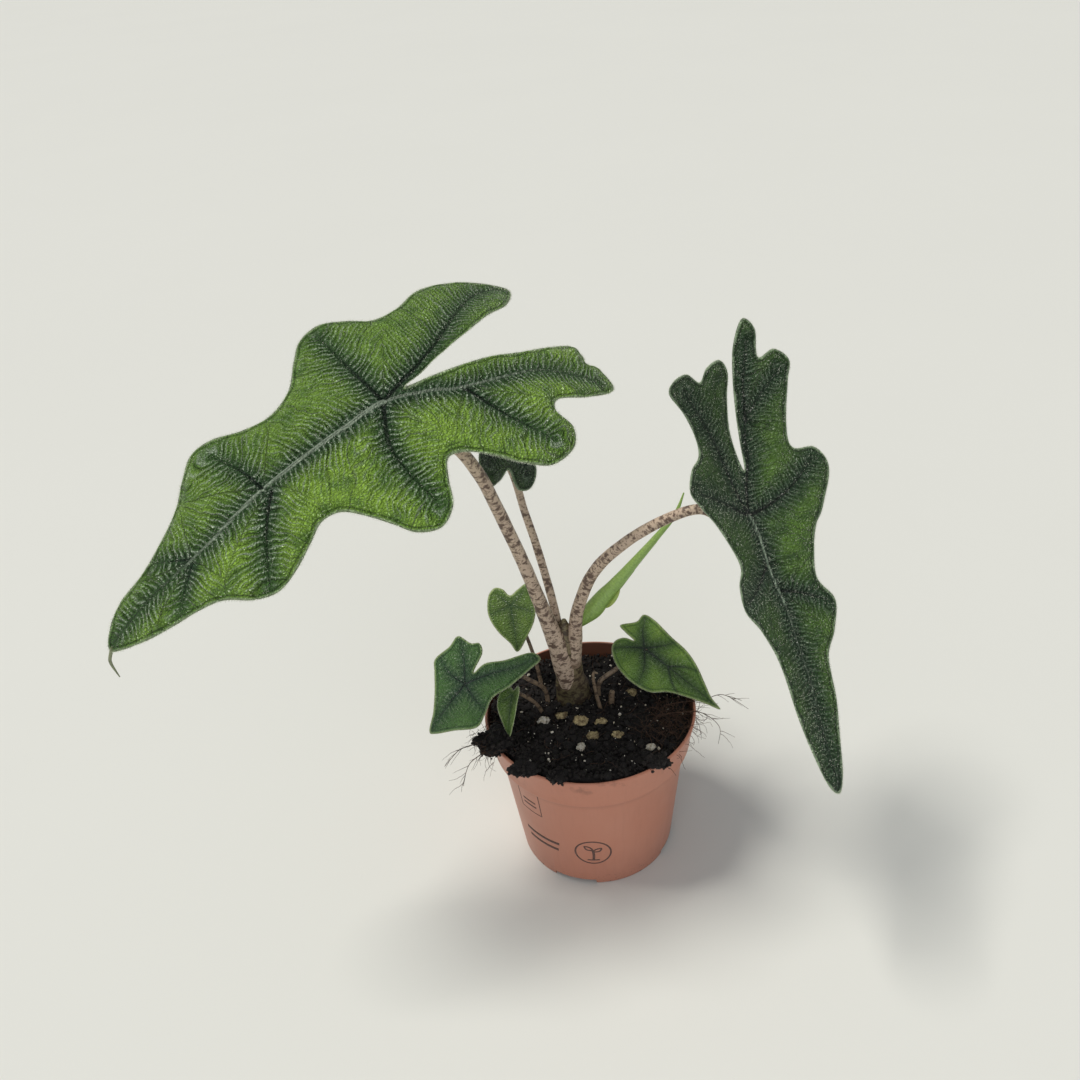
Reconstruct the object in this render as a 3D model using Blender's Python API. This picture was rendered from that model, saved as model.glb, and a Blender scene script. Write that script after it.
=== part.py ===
"""Young potted alocasia: lobed leaves on mottled petioles in a small round nursery pot.

Blender 4.5 script, in metres with +Z up. The origin is the centre of the pot's flat base.
The plant's own sizes below are in millimetres, and heights of the plant are above the pot's rim.
"""

import math

import bmesh
import bpy
from mathutils import Matrix, Vector, noise
from mathutils.geometry import delaunay_2d_cdt

MM = 0.001

# Driving dimensions, in millimetres.
POT_RIM_RADIUS = 30.0
POT_HEIGHT = 48.0
POT_WALL = 0.9
POT_FLOOR = 1.2
BASE_RADIUS = 22.5
BAND_HEIGHT = 10.3
BAND_TAPER = 2.0
BAND_STEP = 1.25
SLOT_WIDTH = 12.5
SLOT_HEIGHT = 1.6
SLOT_TURN = -112.0  # degrees, the first of the four drainage slots

FIT_GAP = 0.3
SOIL_DROP = 2.4
SOIL_TILT = 0.06  # rise per millimetre towards the front left
SOIL_ROUGHNESS = 0.8

STEM_FOOT = (-3.7, 7.3)  # where the stem stands in the pot
STEM_RADIUS = 5.3
STEM_TOP = 20.2
PETIOLE_RADIUS = 1.85  # of the two big stalks, near the stem
BLADE_THICKNESS = 0.6
LARGE_LEAF_LENGTH = 84.0
TALL_LEAF_LENGTH = 68.5

# Outlines in each leaf's own plane: (along, across) from the hub, from the tip round and back.
LARGE_OUTLINE = (
    (84, 0), (81, -4.5), (75, -7), (67, -7.5), (59, -10), (52, -13.5), (47, -18.5), (42, -22.5),
    (36, -22), (29, -18), (22, -16), (15, -18.5), (9.5, -25), (5, -29.5), (-1, -30.5), (-7, -27),
    (-12, -23), (-19, -23), (-28, -26.5), (-37, -26.5), (-44, -25.5), (-51, -23.5), (-55, -21.5),
    (-53, -18), (-46, -13), (-38, -10.5), (-29, -7), (-20, -4), (-11, -1.2), (-6, 0), (-12, 1),
    (-20, 2), (-28, 3), (-36, 4.5), (-45, 5), (-53, 5.5), (-54.5, 9), (-53.5, 11.5), (-57, 13.5),
    (-57.5, 19), (-53, 21.5), (-44, 21.5), (-36, 20), (-33, 22.5), (-34, 28), (-30, 33),
    (-22, 34.5), (-16, 30.5), (-11, 25), (-7, 21.5), (-3, 20.5), (0, 24.5), (3, 30), (8, 32.5),
    (13, 30), (16, 25), (19.5, 19.5), (23, 15.5), (27.5, 14.5), (32, 16.5), (38, 19), (44, 20),
    (49.5, 17.5), (55, 12.5), (61, 10), (68, 8), (76, 5),
)
TALL_OUTLINE = (
    (68.5, 0), (65, -3), (52, -5.5), (38, -6), (30, -9), (25, -13), (19, -12.5), (13, -9.5),
    (4, -13.5), (-1, -18), (-5, -20.5), (-11, -18), (-15, -14), (-20, -14), (-26, -17.5),
    (-31, -22.5), (-34.5, -20), (-36, -15), (-34, -10), (-37.5, -8), (-39.5, -3), (-36.5, -0.5),
    (-30, -1.5), (-21, -2), (-11.5, 0.5), (-22, 1), (-34, 1), (-43, 1.5), (-49.5, 4), (-47, 8),
    (-40, 9), (-42, 13), (-39, 17), (-33, 16.5), (-20, 15), (-15.5, 16), (-15, 21), (-11, 23.5),
    (-6, 23), (2, 19), (6, 16), (12, 13.5), (19, 12), (25, 14.5), (32, 12), (38, 8.5), (48, 7),
    (58, 4.5), (65, 2.5),
)
BACK_OUTLINE = (
    (34, 0), (27, -4), (20, -6), (13, -9), (6, -10), (0, -8), (-5, -8.5), (-10, -10),
    (-15, -8.5), (-15.5, -5), (-10, -2), (-4, 0), (-9, 2), (-13, 4.5), (-14, 8), (-10, 10),
    (-5, 8.5), (0, 8), (6, 10), (13, 9), (20, 6), (27, 4),
)
SMALL_RIGHT_OUTLINE = (
    (28, 0), (24, 1), (20, 3), (15, 5.5), (10, 7), (4, 7.5), (-3, 8.5), (-7, 8), (-7.5, 5),
    (-11, 1.5), (-8, 0.5), (-4, 0), (-7, -1), (-8.5, -3.5), (-7, -6.5), (-2, -9.5), (4, -10.5),
    (10, -9.5), (14, -6), (19, -3.5), (24, -1.5),
)
SMALL_LEFT_OUTLINE = (
    (16, -1), (11, -3), (6, -6), (2, -9), (-1, -11), (-6, -10), (-10, -10), (-10.5, -6),
    (-12, -4), (-10, -1.5), (-4, 0), (-8, 1), (-12, 5), (-18, 9.5), (-17.5, 13), (-13, 12.5),
    (-6, 11), (-1, 9), (4, 10), (8, 10), (12, 5), (15.5, 1),
)
HEART_OUTLINE = (
    (14, 0), (11, -2), (7, -5), (2, -7), (-3, -6.5), (-5.5, -4.5), (-5, -2), (-3, 0), (-4.5, 2.5),
    (-6, 5.5), (-3.5, 6.5), (1, 7.5), (5, 6.5), (9, 4),
)
CURLED_OUTLINE = (
    (11.5, 0), (8, -2.7), (3.5, -4.8), (-1, -4.4), (-2.6, -2.2), (-1.3, 0), (-2.6, 2.2), (-1, 4.4),
    (3.5, 4.4), (8, 2.6),
)


def clear_scene():
    """Remove every object of the startup scene."""
    for obj in list(bpy.data.objects):
        bpy.data.objects.remove(obj, do_unlink=True)


def material(name, colour, roughness):
    """Return a Principled BSDF material of one colour."""
    made = bpy.data.materials.new(name)
    made.use_nodes = True
    shader = made.node_tree.nodes["Principled BSDF"]
    shader.inputs["Base Color"].default_value = (*colour, 1.0)
    shader.inputs["Roughness"].default_value = roughness
    return made


def object_from(name, mesh_data, surface=None):
    """Turn a bmesh into a named object, with its normals outward."""
    bmesh.ops.recalc_face_normals(mesh_data, faces=mesh_data.faces)
    data = bpy.data.meshes.new(name)
    mesh_data.to_mesh(data)
    mesh_data.free()
    data.shade_smooth()
    data.set_sharp_from_angle(angle=math.radians(40))
    made = bpy.data.objects.new(name, data)
    bpy.context.scene.collection.objects.link(made)
    if surface is not None:
        data.materials.append(surface)
    return made


def cutter(obj):
    """Mark an object as a cutter, which isn't a part of the plant."""
    obj.hide_render = True
    obj.display_type = "WIRE"
    return obj


def cut(target, tool, name):
    """Take a cutter's shape out of a piece."""
    step = target.modifiers.new(name, "BOOLEAN")
    step.operation = "DIFFERENCE"
    step.solver = "EXACT"
    step.object = tool


def turned(name, profile, segments, surface):
    """Turn a closed (radius, height) profile about Z. Points on the axis are shared."""
    shape = bmesh.new()
    rings = []
    for radius, height in profile:
        if radius == 0:
            rings.append([shape.verts.new((0, 0, height * MM))] * segments)
            continue
        turns = (math.tau * i / segments for i in range(segments))
        rings.append(
            [
                shape.verts.new((radius * MM * math.cos(u), radius * MM * math.sin(u), height * MM))
                for u in turns
            ]
        )
    for lower, upper in zip(rings, rings[1:] + rings[:1]):
        for i in range(segments):
            j = (i + 1) % segments
            corners = list(dict.fromkeys((lower[i], lower[j], upper[j], upper[i])))
            if len(corners) > 2:
                shape.faces.new(corners)
    return object_from(name, shape, surface)


def tube(name, stations, sides=10, surface=None, steps=3):
    """Sweep a round section along a smooth line.

    Each station is (point, radius) or (point, radius, flatness), all in millimetres. Flatness
    scales the section along Y.
    """
    points = [Vector(station[0]) for station in stations]
    radii = [station[1] for station in stations]
    flat = [station[2] if len(station) > 2 else 1.0 for station in stations]
    line = []
    for i in range(len(points) - 1):
        for k in range(steps):
            part = k / steps
            line.append(
                (
                    spline(points, i, part),
                    radii[i] + (radii[i + 1] - radii[i]) * part,
                    flat[i] + (flat[i + 1] - flat[i]) * part,
                )
            )
    line.append((points[-1], radii[-1], flat[-1]))
    shape = bmesh.new()
    rings = []
    across = Vector((1, 0, 0))
    for i, (point, radius, flatness) in enumerate(line):
        along = line[min(i + 1, len(line) - 1)][0] - line[max(i - 1, 0)][0]
        along.normalize()
        across = (across - along * across.dot(along)).normalized()
        other = along.cross(across) * flatness
        ring = []
        for k in range(sides):
            turn = math.tau * k / sides
            out = across * math.cos(turn) + other * math.sin(turn)
            ring.append(shape.verts.new((point + out * radius) * MM))
        rings.append(ring)
    for lower, upper in zip(rings, rings[1:]):
        for k in range(sides):
            j = (k + 1) % sides
            shape.faces.new((lower[k], lower[j], upper[j], upper[k]))
    shape.faces.new(reversed(rings[0]))
    shape.faces.new(rings[-1])
    return object_from(name, shape, surface)


def spline(points, i, part):
    """Return the point a share of the way from points[i] to points[i + 1] on a smooth line."""
    before = points[max(i - 1, 0)]
    after = points[min(i + 2, len(points) - 1)]
    start = points[i]
    end = points[i + 1]
    leave = (end - before) * 0.5
    arrive = (after - start) * 0.5
    square = part * part
    cube = square * part
    return (
        start * (2 * cube - 3 * square + 1)
        + leave * (cube - 2 * square + part)
        + end * (3 * square - 2 * cube)
        + arrive * (cube - square)
    )


def lump(name, centre, radii, seed, surface=None, grow=0.0, floor=None, detail=2):
    """Make a rough rounded grain. Grow swells it evenly, and floor flattens its underside."""
    shape = bmesh.new()
    bmesh.ops.create_icosphere(shape, subdivisions=detail, radius=1.0)
    for vert in shape.verts:
        out = vert.co.copy()
        rough = 1 + 0.22 * noise.noise(out * 1.7 + Vector((seed * 3.1, seed * 1.7, 0)))
        place = Vector(centre) + Vector(
            out[axis] * (radii[axis] * rough + grow) for axis in range(3)
        )
        if floor is not None:
            place.z = max(place.z, floor)
        vert.co = place * MM
    return object_from(name, shape, surface)


class Blade:
    """A leaf blade bent about its hub, where its petiole joins it. Sizes are in millimetres."""

    def __init__(self, hub, heading, pitch, bank, curl_tip=0.0, curl_base=0.0, fold=0.0):
        """Place the hub and aim the blade.

        Heading, pitch and bank are in degrees, the curls are the bend per millimetre towards
        the tip and the base, and fold is how far each half rises, in degrees.
        """
        turn, tilt, roll = (math.radians(angle) for angle in (heading, pitch, bank))
        self.hub = Vector(hub)
        self.ahead = Vector(
            (math.cos(turn) * math.cos(tilt), math.sin(turn) * math.cos(tilt), math.sin(tilt))
        )
        level = Vector((-math.sin(turn), math.cos(turn), 0))
        self.up = self.ahead.cross(level) * math.cos(roll) + level * math.sin(roll)
        self.side = self.up.cross(self.ahead)
        self.curl_tip = curl_tip
        self.curl_base = curl_base
        self.fold = math.radians(fold)

    def point(self, along, across, depth=0.0):
        """Return the point of the upper surface there, or one this far below it."""
        curl = (self.curl_tip if along > 0 else self.curl_base) or 1e-6
        bend = curl * along
        rise = math.tan(self.fold) * (math.hypot(across, 4.0) - 4.0) * math.cos(self.fold)
        up = self.up * math.cos(bend) + self.ahead * math.sin(bend)
        return (
            self.hub
            + self.ahead * (math.sin(bend) / curl)
            - self.up * ((1 - math.cos(bend)) / curl)
            + self.side * (across * math.cos(self.fold))
            + up * (rise - depth)
        )

    def build(self, name, outline, spacing, surface, size=1.0):
        """Make the blade from its outline, with an even net of points inside it."""
        corners = [Vector(corner) * size for corner in outline]
        count = len(corners)
        rim = []
        for i in range(count):
            around = [corners[(i + k) % count] for k in (-1, 0, 1, 2)]
            steps = max(1, round((around[2] - around[1]).length / spacing))
            rim += [spline(around, 1, k / steps) for k in range(steps)]
        net = list(rim)
        low = [min(corner[axis] for corner in rim) for axis in range(2)]
        high = [max(corner[axis] for corner in rim) for axis in range(2)]
        row_height = spacing * math.sqrt(3) / 2
        for row in range(int((high[1] - low[1]) / row_height) + 1):
            across = low[1] + (row + 0.5) * row_height
            for step in range(int((high[0] - low[0]) / spacing) + 1):
                spot = Vector((low[0] + (step + 0.5 * (row % 2)) * spacing, across))
                clear = min((spot - corner).length for corner in rim)
                if clear > 0.6 * spacing and inside(spot, rim):
                    net.append(spot)
        flat, _, faces, _, _, _ = delaunay_2d_cdt(net, [], [list(range(len(rim)))], 1, 1e-5)
        shape = bmesh.new()
        verts = [shape.verts.new(self.point(spot.x, spot.y) * MM) for spot in flat]
        for face in faces:
            shape.faces.new([verts[i] for i in face])
        made = object_from(name, shape, surface)
        skin = made.modifiers.new("thickness", "SOLIDIFY")
        skin.thickness = BLADE_THICKNESS * MM
        skin.offset = -1 if made.data.polygons[0].normal.dot(self.up) > 0 else 1
        return made


def inside(spot, rim):
    """Say whether a spot lies inside a closed outline."""
    found = False
    for start, end in zip(rim, rim[1:] + rim[:1]):
        if (start.y > spot.y) != (end.y > spot.y):
            crossing = start.x + (spot.y - start.y) / (end.y - start.y) * (end.x - start.x)
            if spot.x < crossing:
                found = not found
    return found


def above(x, y, height):
    """Return a point by its height above the pot's rim."""
    return Vector((x, y, POT_HEIGHT + height))


def inner_radius(height):
    """Return the radius of the pot's inner wall at a height above its base."""
    band_foot = POT_HEIGHT - BAND_HEIGHT
    if height >= band_foot:
        return POT_RIM_RADIUS - POT_WALL - BAND_TAPER * (POT_HEIGHT - height) / BAND_HEIGHT
    top = POT_RIM_RADIUS - BAND_TAPER - BAND_STEP - POT_WALL
    return BASE_RADIUS - POT_WALL + (top - BASE_RADIUS + POT_WALL) * height / band_foot


def soil_top(x, y):
    """Return the height of the soil's surface above the pot's base."""
    rough = noise.noise(Vector((x, y, 3.0)) * 0.21) + 0.6 * noise.noise(Vector((x, y, 9.0)) * 0.5)
    height = -SOIL_DROP - SOIL_TILT * (x + y) + SOIL_ROUGHNESS * rough
    return POT_HEIGHT + min(height, -0.2)


def build_pot(surface):
    """Turn the pot and cut its four drainage slots."""
    band_foot = POT_HEIGHT - BAND_HEIGHT
    band_radius = POT_RIM_RADIUS - BAND_TAPER
    body_radius = band_radius - BAND_STEP
    inner_step = inner_radius(band_foot - 0.8)
    profile = (
        (0, 0),
        (BASE_RADIUS - 0.5, 0),
        (BASE_RADIUS, 0.5),
        (body_radius, band_foot - 0.3),
        (band_radius - 0.3, band_foot - 0.3),
        (band_radius, band_foot),
        (POT_RIM_RADIUS, POT_HEIGHT - 0.3),
        (POT_RIM_RADIUS - 0.3, POT_HEIGHT),
        (POT_RIM_RADIUS - POT_WALL, POT_HEIGHT),
        (inner_radius(band_foot), band_foot),
        (inner_step, band_foot - 0.8),
        (inner_radius(POT_FLOOR), POT_FLOOR),
        (0, POT_FLOOR),
    )
    pot = turned("pot", profile, 64, surface)
    for quarter in range(4):
        turn = math.radians(SLOT_TURN + 90 * quarter)
        shape = bmesh.new()
        place = (
            Matrix.Rotation(turn, 4, "Z")
            @ Matrix.Translation((BASE_RADIUS * MM, 0, 0))
            @ Matrix.Diagonal((5 * MM, SLOT_WIDTH * MM, 2 * SLOT_HEIGHT * MM, 1))
        )
        bmesh.ops.create_cube(shape, size=1.0, matrix=place)
        cut(pot, cutter(object_from(f"slot_cutter_{quarter}", shape)), f"slot_{quarter}")
    return pot


def build_soil(surface):
    """Make the soil, which follows the pot's inner wall with a clear gap."""
    segments = 44
    edge = inner_radius(POT_HEIGHT - 3) - FIT_GAP
    shoulder = POT_HEIGHT - BAND_HEIGHT - 0.8
    bottom = SLOT_HEIGHT + FIT_GAP
    levels = [shoulder + (bottom - shoulder) * k / 3 for k in range(4)]
    shape = bmesh.new()
    rings = [[] for _ in range(14)]
    for i in range(segments):
        turn = math.tau * i / segments
        away = Vector((math.cos(turn), math.sin(turn), 0))
        spots = []
        for share in (0.14, 0.28, 0.42, 0.55, 0.68, 0.8, 0.91):
            spot = away * edge * share
            spots.append((spot.x, spot.y, soil_top(spot.x, spot.y)))
        brink = soil_top(*(away * edge).xy) - 0.9
        margin = away * (inner_radius(brink) - FIT_GAP)
        spots.append((margin.x, margin.y, brink))
        outside = away * (inner_radius(levels[0] + 0.8) - FIT_GAP)
        spots.append((outside.x, outside.y, levels[0] + 0.8))
        for level in levels:
            wall = away * (inner_radius(level) - FIT_GAP)
            spots.append((wall.x, wall.y, level))
        for ring, spot in zip(rings, spots):
            ring.append(shape.verts.new(Vector(spot) * MM))
    rings = [ring for ring in rings if ring]
    top = shape.verts.new((0, 0, soil_top(0, 0) * MM))
    foot = shape.verts.new((0, 0, bottom * MM))
    for i in range(segments):
        j = (i + 1) % segments
        for upper, lower in zip(rings, rings[1:]):
            shape.faces.new((upper[i], lower[i], lower[j], upper[j]))
        shape.faces.new((top, rings[0][i], rings[0][j]))
        shape.faces.new((foot, rings[-1][j], rings[-1][i]))
    return object_from("soil", shape, surface)


def by_stem(angle, clear, height):
    """Return a point around the stem's foot, this far from its skin and above the pot's rim."""
    turn = math.radians(angle)
    reach = STEM_RADIUS + clear
    return above(
        STEM_FOOT[0] + reach * math.cos(turn), STEM_FOOT[1] + reach * math.sin(turn), height
    )


def by_rim(angle, beyond, height):
    """Return a point by its angle, its distance outside the pot's rim and its height above it."""
    turn = math.radians(angle)
    reach = POT_RIM_RADIUS + beyond
    return above(reach * math.cos(turn), reach * math.sin(turn), height)


def planted(soil, name, stations, surface, sides=8, steps=3):
    """Make a stalk that stands in the soil, and its socket. The first station is its foot."""
    stalk = tube(name, stations, sides, surface, steps)
    foot = Vector(stations[0][0])
    rise = (Vector(stations[1][0]) - foot).normalized()
    flat = stations[0][2] if len(stations[0]) > 2 else 1.0
    socket = [
        (foot - rise * FIT_GAP, stations[0][1] + FIT_GAP, flat),
        *((station[0], station[1] + FIT_GAP, *station[2:]) for station in stations[1:3]),
    ]
    cut(soil, cutter(tube(f"{name}_socket", socket, sides, None, steps)), f"{name}_socket")
    return stalk


def sunk(soil, name, angle, share, radii, seed, surface):
    """Make a grain half sunk in the soil, at an angle and a share of the soil's radius."""
    turn = math.radians(angle)
    reach = share * inner_radius(POT_HEIGHT - SOIL_DROP)
    x = reach * math.cos(turn)
    y = reach * math.sin(turn)
    centre = (x, y, soil_top(x, y) + 0.25 * radii[2])
    grain = lump(name, centre, radii, seed, surface, detail=1)
    hollow = lump(f"{name}_hollow", centre, radii, seed, None, FIT_GAP, detail=1)
    cut(soil, cutter(hollow), f"{name}_hollow")
    return grain


def aim_blades():
    """Place each blade's hub and aim it."""
    return {
        "large": Blade((-41.8, -10, POT_HEIGHT + 105.1), -151, -18.1, 25.6, 0.0061, 0.0133, -7.4),
        "tall": Blade((41.9, -8, POT_HEIGHT + 64.9), -79, -38.3, 15.7, 0, -0.013, 22),
        "back": Blade((-19.4, 21, POT_HEIGHT + 77.6), 123, 5, -28, 0.004, 0.09, 6),
        "small_right": Blade((17.4, 12, POT_HEIGHT + 10.0), -48, -13, -25, 0.008, 0.02, 8),
        "small_left": Blade((-33.8, -4, POT_HEIGHT + 16.1), -135, -26, 20, 0.02, 0.02, 8),
        "heart": Blade((-19.9, 20, POT_HEIGHT + 23.4), -87, -60, -15, 0.02, 0.02, 12),
        "curled": Blade((-21.3, -5, POT_HEIGHT + 11.6), -112, -43, -26, 0.03, 0.02, 38),
    }


def build_blades(blades, bright, dark, young):
    """Make the seven open blades."""
    large_size = LARGE_LEAF_LENGTH / LARGE_OUTLINE[0][0]
    tall_size = TALL_LEAF_LENGTH / TALL_OUTLINE[0][0]
    blades["large"].build("leaf_large_left", LARGE_OUTLINE, 4.2, bright, large_size)
    blades["tall"].build("leaf_tall_right", TALL_OUTLINE, 4.0, dark, tall_size)
    blades["back"].build("leaf_back", BACK_OUTLINE, 3.6, dark)
    blades["small_right"].build("leaf_small_right", SMALL_RIGHT_OUTLINE, 3.2, young)
    blades["small_left"].build("leaf_small_left", SMALL_LEFT_OUTLINE, 3.2, young)
    blades["heart"].build("leaf_heart", HEART_OUTLINE, 2.8, young)
    blades["curled"].build("leaf_curled", CURLED_OUTLINE, 2.4, young)


def build_stem(soil, surface):
    """Make the stem, flattened where the big stalks part at its top."""
    x, y = STEM_FOOT
    stations = (
        (above(x + 0.3, y + 0.3, -10), 0.75 * STEM_RADIUS, 0.9),
        (above(x, y, -5), STEM_RADIUS, 0.9),
        (above(x - 0.6, y - 0.3, 2), STEM_RADIUS - 0.2, 0.88),
        (above(x - 1.3, y - 0.7, 12), STEM_RADIUS - 0.8, 0.85),
        (above(x - 2.0, y - 1.0, STEM_TOP - 2), STEM_RADIUS - 0.4, 0.78),
        (above(x - 2.0, y - 1.0, STEM_TOP), STEM_RADIUS - 0.3, 0.76),
    )
    planted(soil, "stem", stations, surface, sides=16)


def build_big_stalks(blades, mottled, young):
    """Make the stalks that part from the stem's top, and the rolled new leaf on its own."""
    crown = STEM_TOP + 2.5 * FIT_GAP
    reach = BLADE_THICKNESS + FIT_GAP
    foot = PETIOLE_RADIUS
    tube(
        "petiole_large_left",
        (
            (above(-8.2, 4.9, crown), foot + 0.05),
            (above(-10.3, 4.5, 30.7), foot),
            (above(-14.5, 2.0, 49.4), foot - 0.1),
            (above(-18.8, -1.0, 66.2), foot - 0.2),
            (above(-23.1, -5.5, 82.0), foot - 0.3),
            (above(-29.0, -8.3, 92.6), foot - 0.35),
            (blades["large"].point(1, 0, reach + 4.5), foot - 0.45),
            (blades["large"].point(3, 0, reach + 0.6), foot - 1.05),
        ),
        10,
        mottled,
    )
    tube(
        "petiole_tall_right",
        (
            (above(-2.4, 5.0, crown), foot - 0.05),
            (above(-1.3, 4.0, 31.8), foot - 0.1),
            (above(3.6, 2.0, 45.2), foot - 0.25),
            (above(11.7, -2.0, 56.1), foot - 0.4),
            (above(21.5, -5.0, 63.8), foot - 0.5),
            (above(29.9, -7.0, 67.2), foot - 0.6),
            (blades["tall"].point(0, -5, reach + 3.2), foot - 0.65),
            (blades["tall"].point(1, 0, reach + 0.6), foot - 1.15),
        ),
        10,
        mottled,
    )
    tube(
        "petiole_back",
        (
            (above(-6.6, 8.3, crown), 1.15),
            (above(-8.0, 10.0, 32.2), 1.15),
            (above(-10.8, 15.0, 45.8), 1.1),
            (above(-13.4, 18.8, 56.1), 1.05),
            (above(-15.4, 20.6, 66.0), 1.0),
            (blades["back"].point(0, 0, reach + 0.6), 0.6),
        ),
        8,
        mottled,
    )
    tube(
        "leaf_rolled_new",
        (
            (above(-3.3, 9.0, crown), 0.9),
            (above(-3.1, 9.1, crown + 1.2), 1.0),
            (above(-0.6, 9.6, 23.9), 1.7),
            (above(3.0, 10.3, 26.4), 2.6),
            (above(5.8, 11.0, 29.6), 2.4),
            (above(9.2, 11.8, 32.8), 1.5),
            (above(15.7, 13.5, 39.3), 1.3),
            (above(22.1, 15.0, 45.9), 0.9),
            (above(27.3, 16.5, 51.5), 0.6),
            (above(30.0, 18.0, 57.3), 0.3),
        ),
        8,
        young,
    )


def build_small_stalks(soil, blades, mottled, dry, young, bark):
    """Make the thin stalks, the sprout and the stub that stand in the soil round the stem."""
    reach = BLADE_THICKNESS + FIT_GAP
    planted(
        soil,
        "petiole_small_right",
        (
            (by_stem(-4, 1.4, -8), 0.7),
            (by_stem(-3, 1.6, -3), 0.7),
            (by_stem(-2, 2.1, 3), 0.7),
            (above(9.0, 9.0, 5.8), 0.65),
            (blades["small_right"].point(-2, 0, reach + 1.4), 0.6),
            (blades["small_right"].point(1, 0, reach + 0.5), 0.4),
        ),
        mottled,
    )
    planted(
        soil,
        "petiole_small_left",
        (
            (by_stem(192, 2.6, -8), 0.65),
            (by_stem(194, 2.9, -3), 0.65),
            (by_stem(197, 3.7, 4), 0.65),
            (above(-16.0, 1.0, 11.0), 0.6),
            (blades["small_left"].point(-11, 3, reach + 3.5), 0.6),
            (blades["small_left"].point(-1, 0, reach + 0.6), 0.4),
        ),
        dry,
    )
    planted(
        soil,
        "petiole_heart",
        (
            (by_stem(150, 5.0, -8), 0.6),
            (by_stem(149, 5.6, -3), 0.6),
            (above(-14.5, 15.5, 7), 0.55),
            (above(-17.6, 19.8, 17.5), 0.5),
            (blades["heart"].point(0, 0, reach + 0.5), 0.35),
        ),
        dry,
    )
    planted(
        soil,
        "petiole_curled",
        (
            (by_stem(210, 5.0, -8), 0.6),
            (by_stem(211, 5.8, -3), 0.6),
            (above(-15.2, -0.8, 4), 0.55),
            (above(-18.8, -3.4, 10.0), 0.5),
            (blades["curled"].point(-0.5, 0, reach + 0.5), 0.35),
        ),
        dry,
    )
    planted(
        soil,
        "sprout",
        (
            (by_stem(-38, 4.0, -7), 0.6),
            (by_stem(-38, 3.5, -3), 0.6),
            (by_stem(-41, 2.5, 3), 0.5),
            (by_stem(-43, 2.0, 9), 0.45),
            (by_stem(-40, 2.3, 10.8), 0.4),
            (by_stem(-37, 3.0, 10.2), 0.25),
        ),
        young,
        sides=6,
    )
    planted(
        soil,
        "cut_stub",
        (
            (by_stem(-18, 5.5, -7), 0.9),
            (by_stem(-18, 5.5, -3), 0.9),
            (by_stem(-18, 5.7, 0.5), 0.85),
            (by_stem(-18, 5.9, 1.6), 0.8),
        ),
        bark,
        sides=7,
        steps=1,
    )


def build_dry_tip(blade, surface):
    """Make the withered thread that hangs from the large blade's tip."""
    length = LARGE_LEAF_LENGTH
    stations = (
        (blade.point(length + 0.6, 0, 0.3), 0.4),
        (blade.point(length + 3.0, 1.0, 1.6), 0.4),
        (blade.point(length + 5.0, 3.4, 3.8), 0.3),
    )
    tube("leaf_dry_tip", stations, 6, surface, 2)


def build_grains(soil, white, brown):
    """Make the white and brown grains: name, angle, share of the soil's radius, half sizes."""
    grains = (
        ("perlite_a", -166, 0.49, (1.7, 1.4, 1.1), white),
        ("perlite_b", -48, 0.79, (1.3, 1.1, 0.9), white),
        ("perlite_c", -104, 0.55, (1.2, 1.3, 0.9), white),
        ("bark_a", -168, 0.29, (1.9, 1.2, 0.9), brown),
        ("bark_b", -123, 0.2, (2.3, 1.4, 1.1), brown),
        ("bark_c", -63, 0.2, (1.6, 1.3, 1.0), brown),
        ("bark_d", -91, 0.38, (1.9, 1.5, 1.1), brown),
        ("bark_e", -60, 0.46, (1.6, 1.2, 1.0), brown),
        ("bark_f", 30, 0.51, (1.7, 1.4, 1.0), brown),
    )
    for seed, (name, angle, share, radii, surface) in enumerate(grains):
        sunk(soil, name, angle, share, radii, seed, surface)


def build_clumps(surface):
    """Make the clumps of soil that lie on the rim: name, angle, distance beyond it, half sizes."""
    clumps = (
        ("soil_clump_left", -157, -0.3, (6.0, 4.6, 2.6)),
        ("soil_clump_front", -131, 0.0, (3.2, 2.6, 1.8)),
        ("soil_clump_front_low", -112, -1.5, (2.6, 2.2, 1.3)),
        ("soil_clump_right", -57, -0.9, (3.4, 2.4, 1.5)),
    )
    for seed, (name, angle, beyond, radii) in enumerate(clumps):
        centre = by_rim(angle, beyond, FIT_GAP + 0.25 * radii[2])
        lump(name, centre, radii, 11 + seed, surface, floor=POT_HEIGHT + FIT_GAP)


def build_roots(surface):
    """Make the loose roots, each from points of angle, distance beyond the rim and height."""
    strands = (
        ("root_left_a", ((-160, 6.6, 1.1), (-160, 9.8, 0.6), (-159, 14.3, -2.5))),
        ("root_left_b", ((-152.5, 5.6, 0.9), (-151, 9.4, 0.2), (-148, 12.9, -3.5))),
        (
            "root_right_a",
            ((-3, -9.5, -2), (-5, -3.4, 0.8), (-5, 2.1, 1.4), (-2, 8, 1.3), (-9, 14.5, 0.3)),
        ),
        (
            "root_right_b",
            ((-13, -9.5, -2), (-14, -3.2, 0.8), (-14.5, 2, 1.2), (-17.5, 6.7, -1.5), (-24, 7.2, -4)),
        ),
    )
    for name, line in strands:
        tube(name, [(by_rim(*spot), 0.3) for spot in line], 5, surface)


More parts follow.
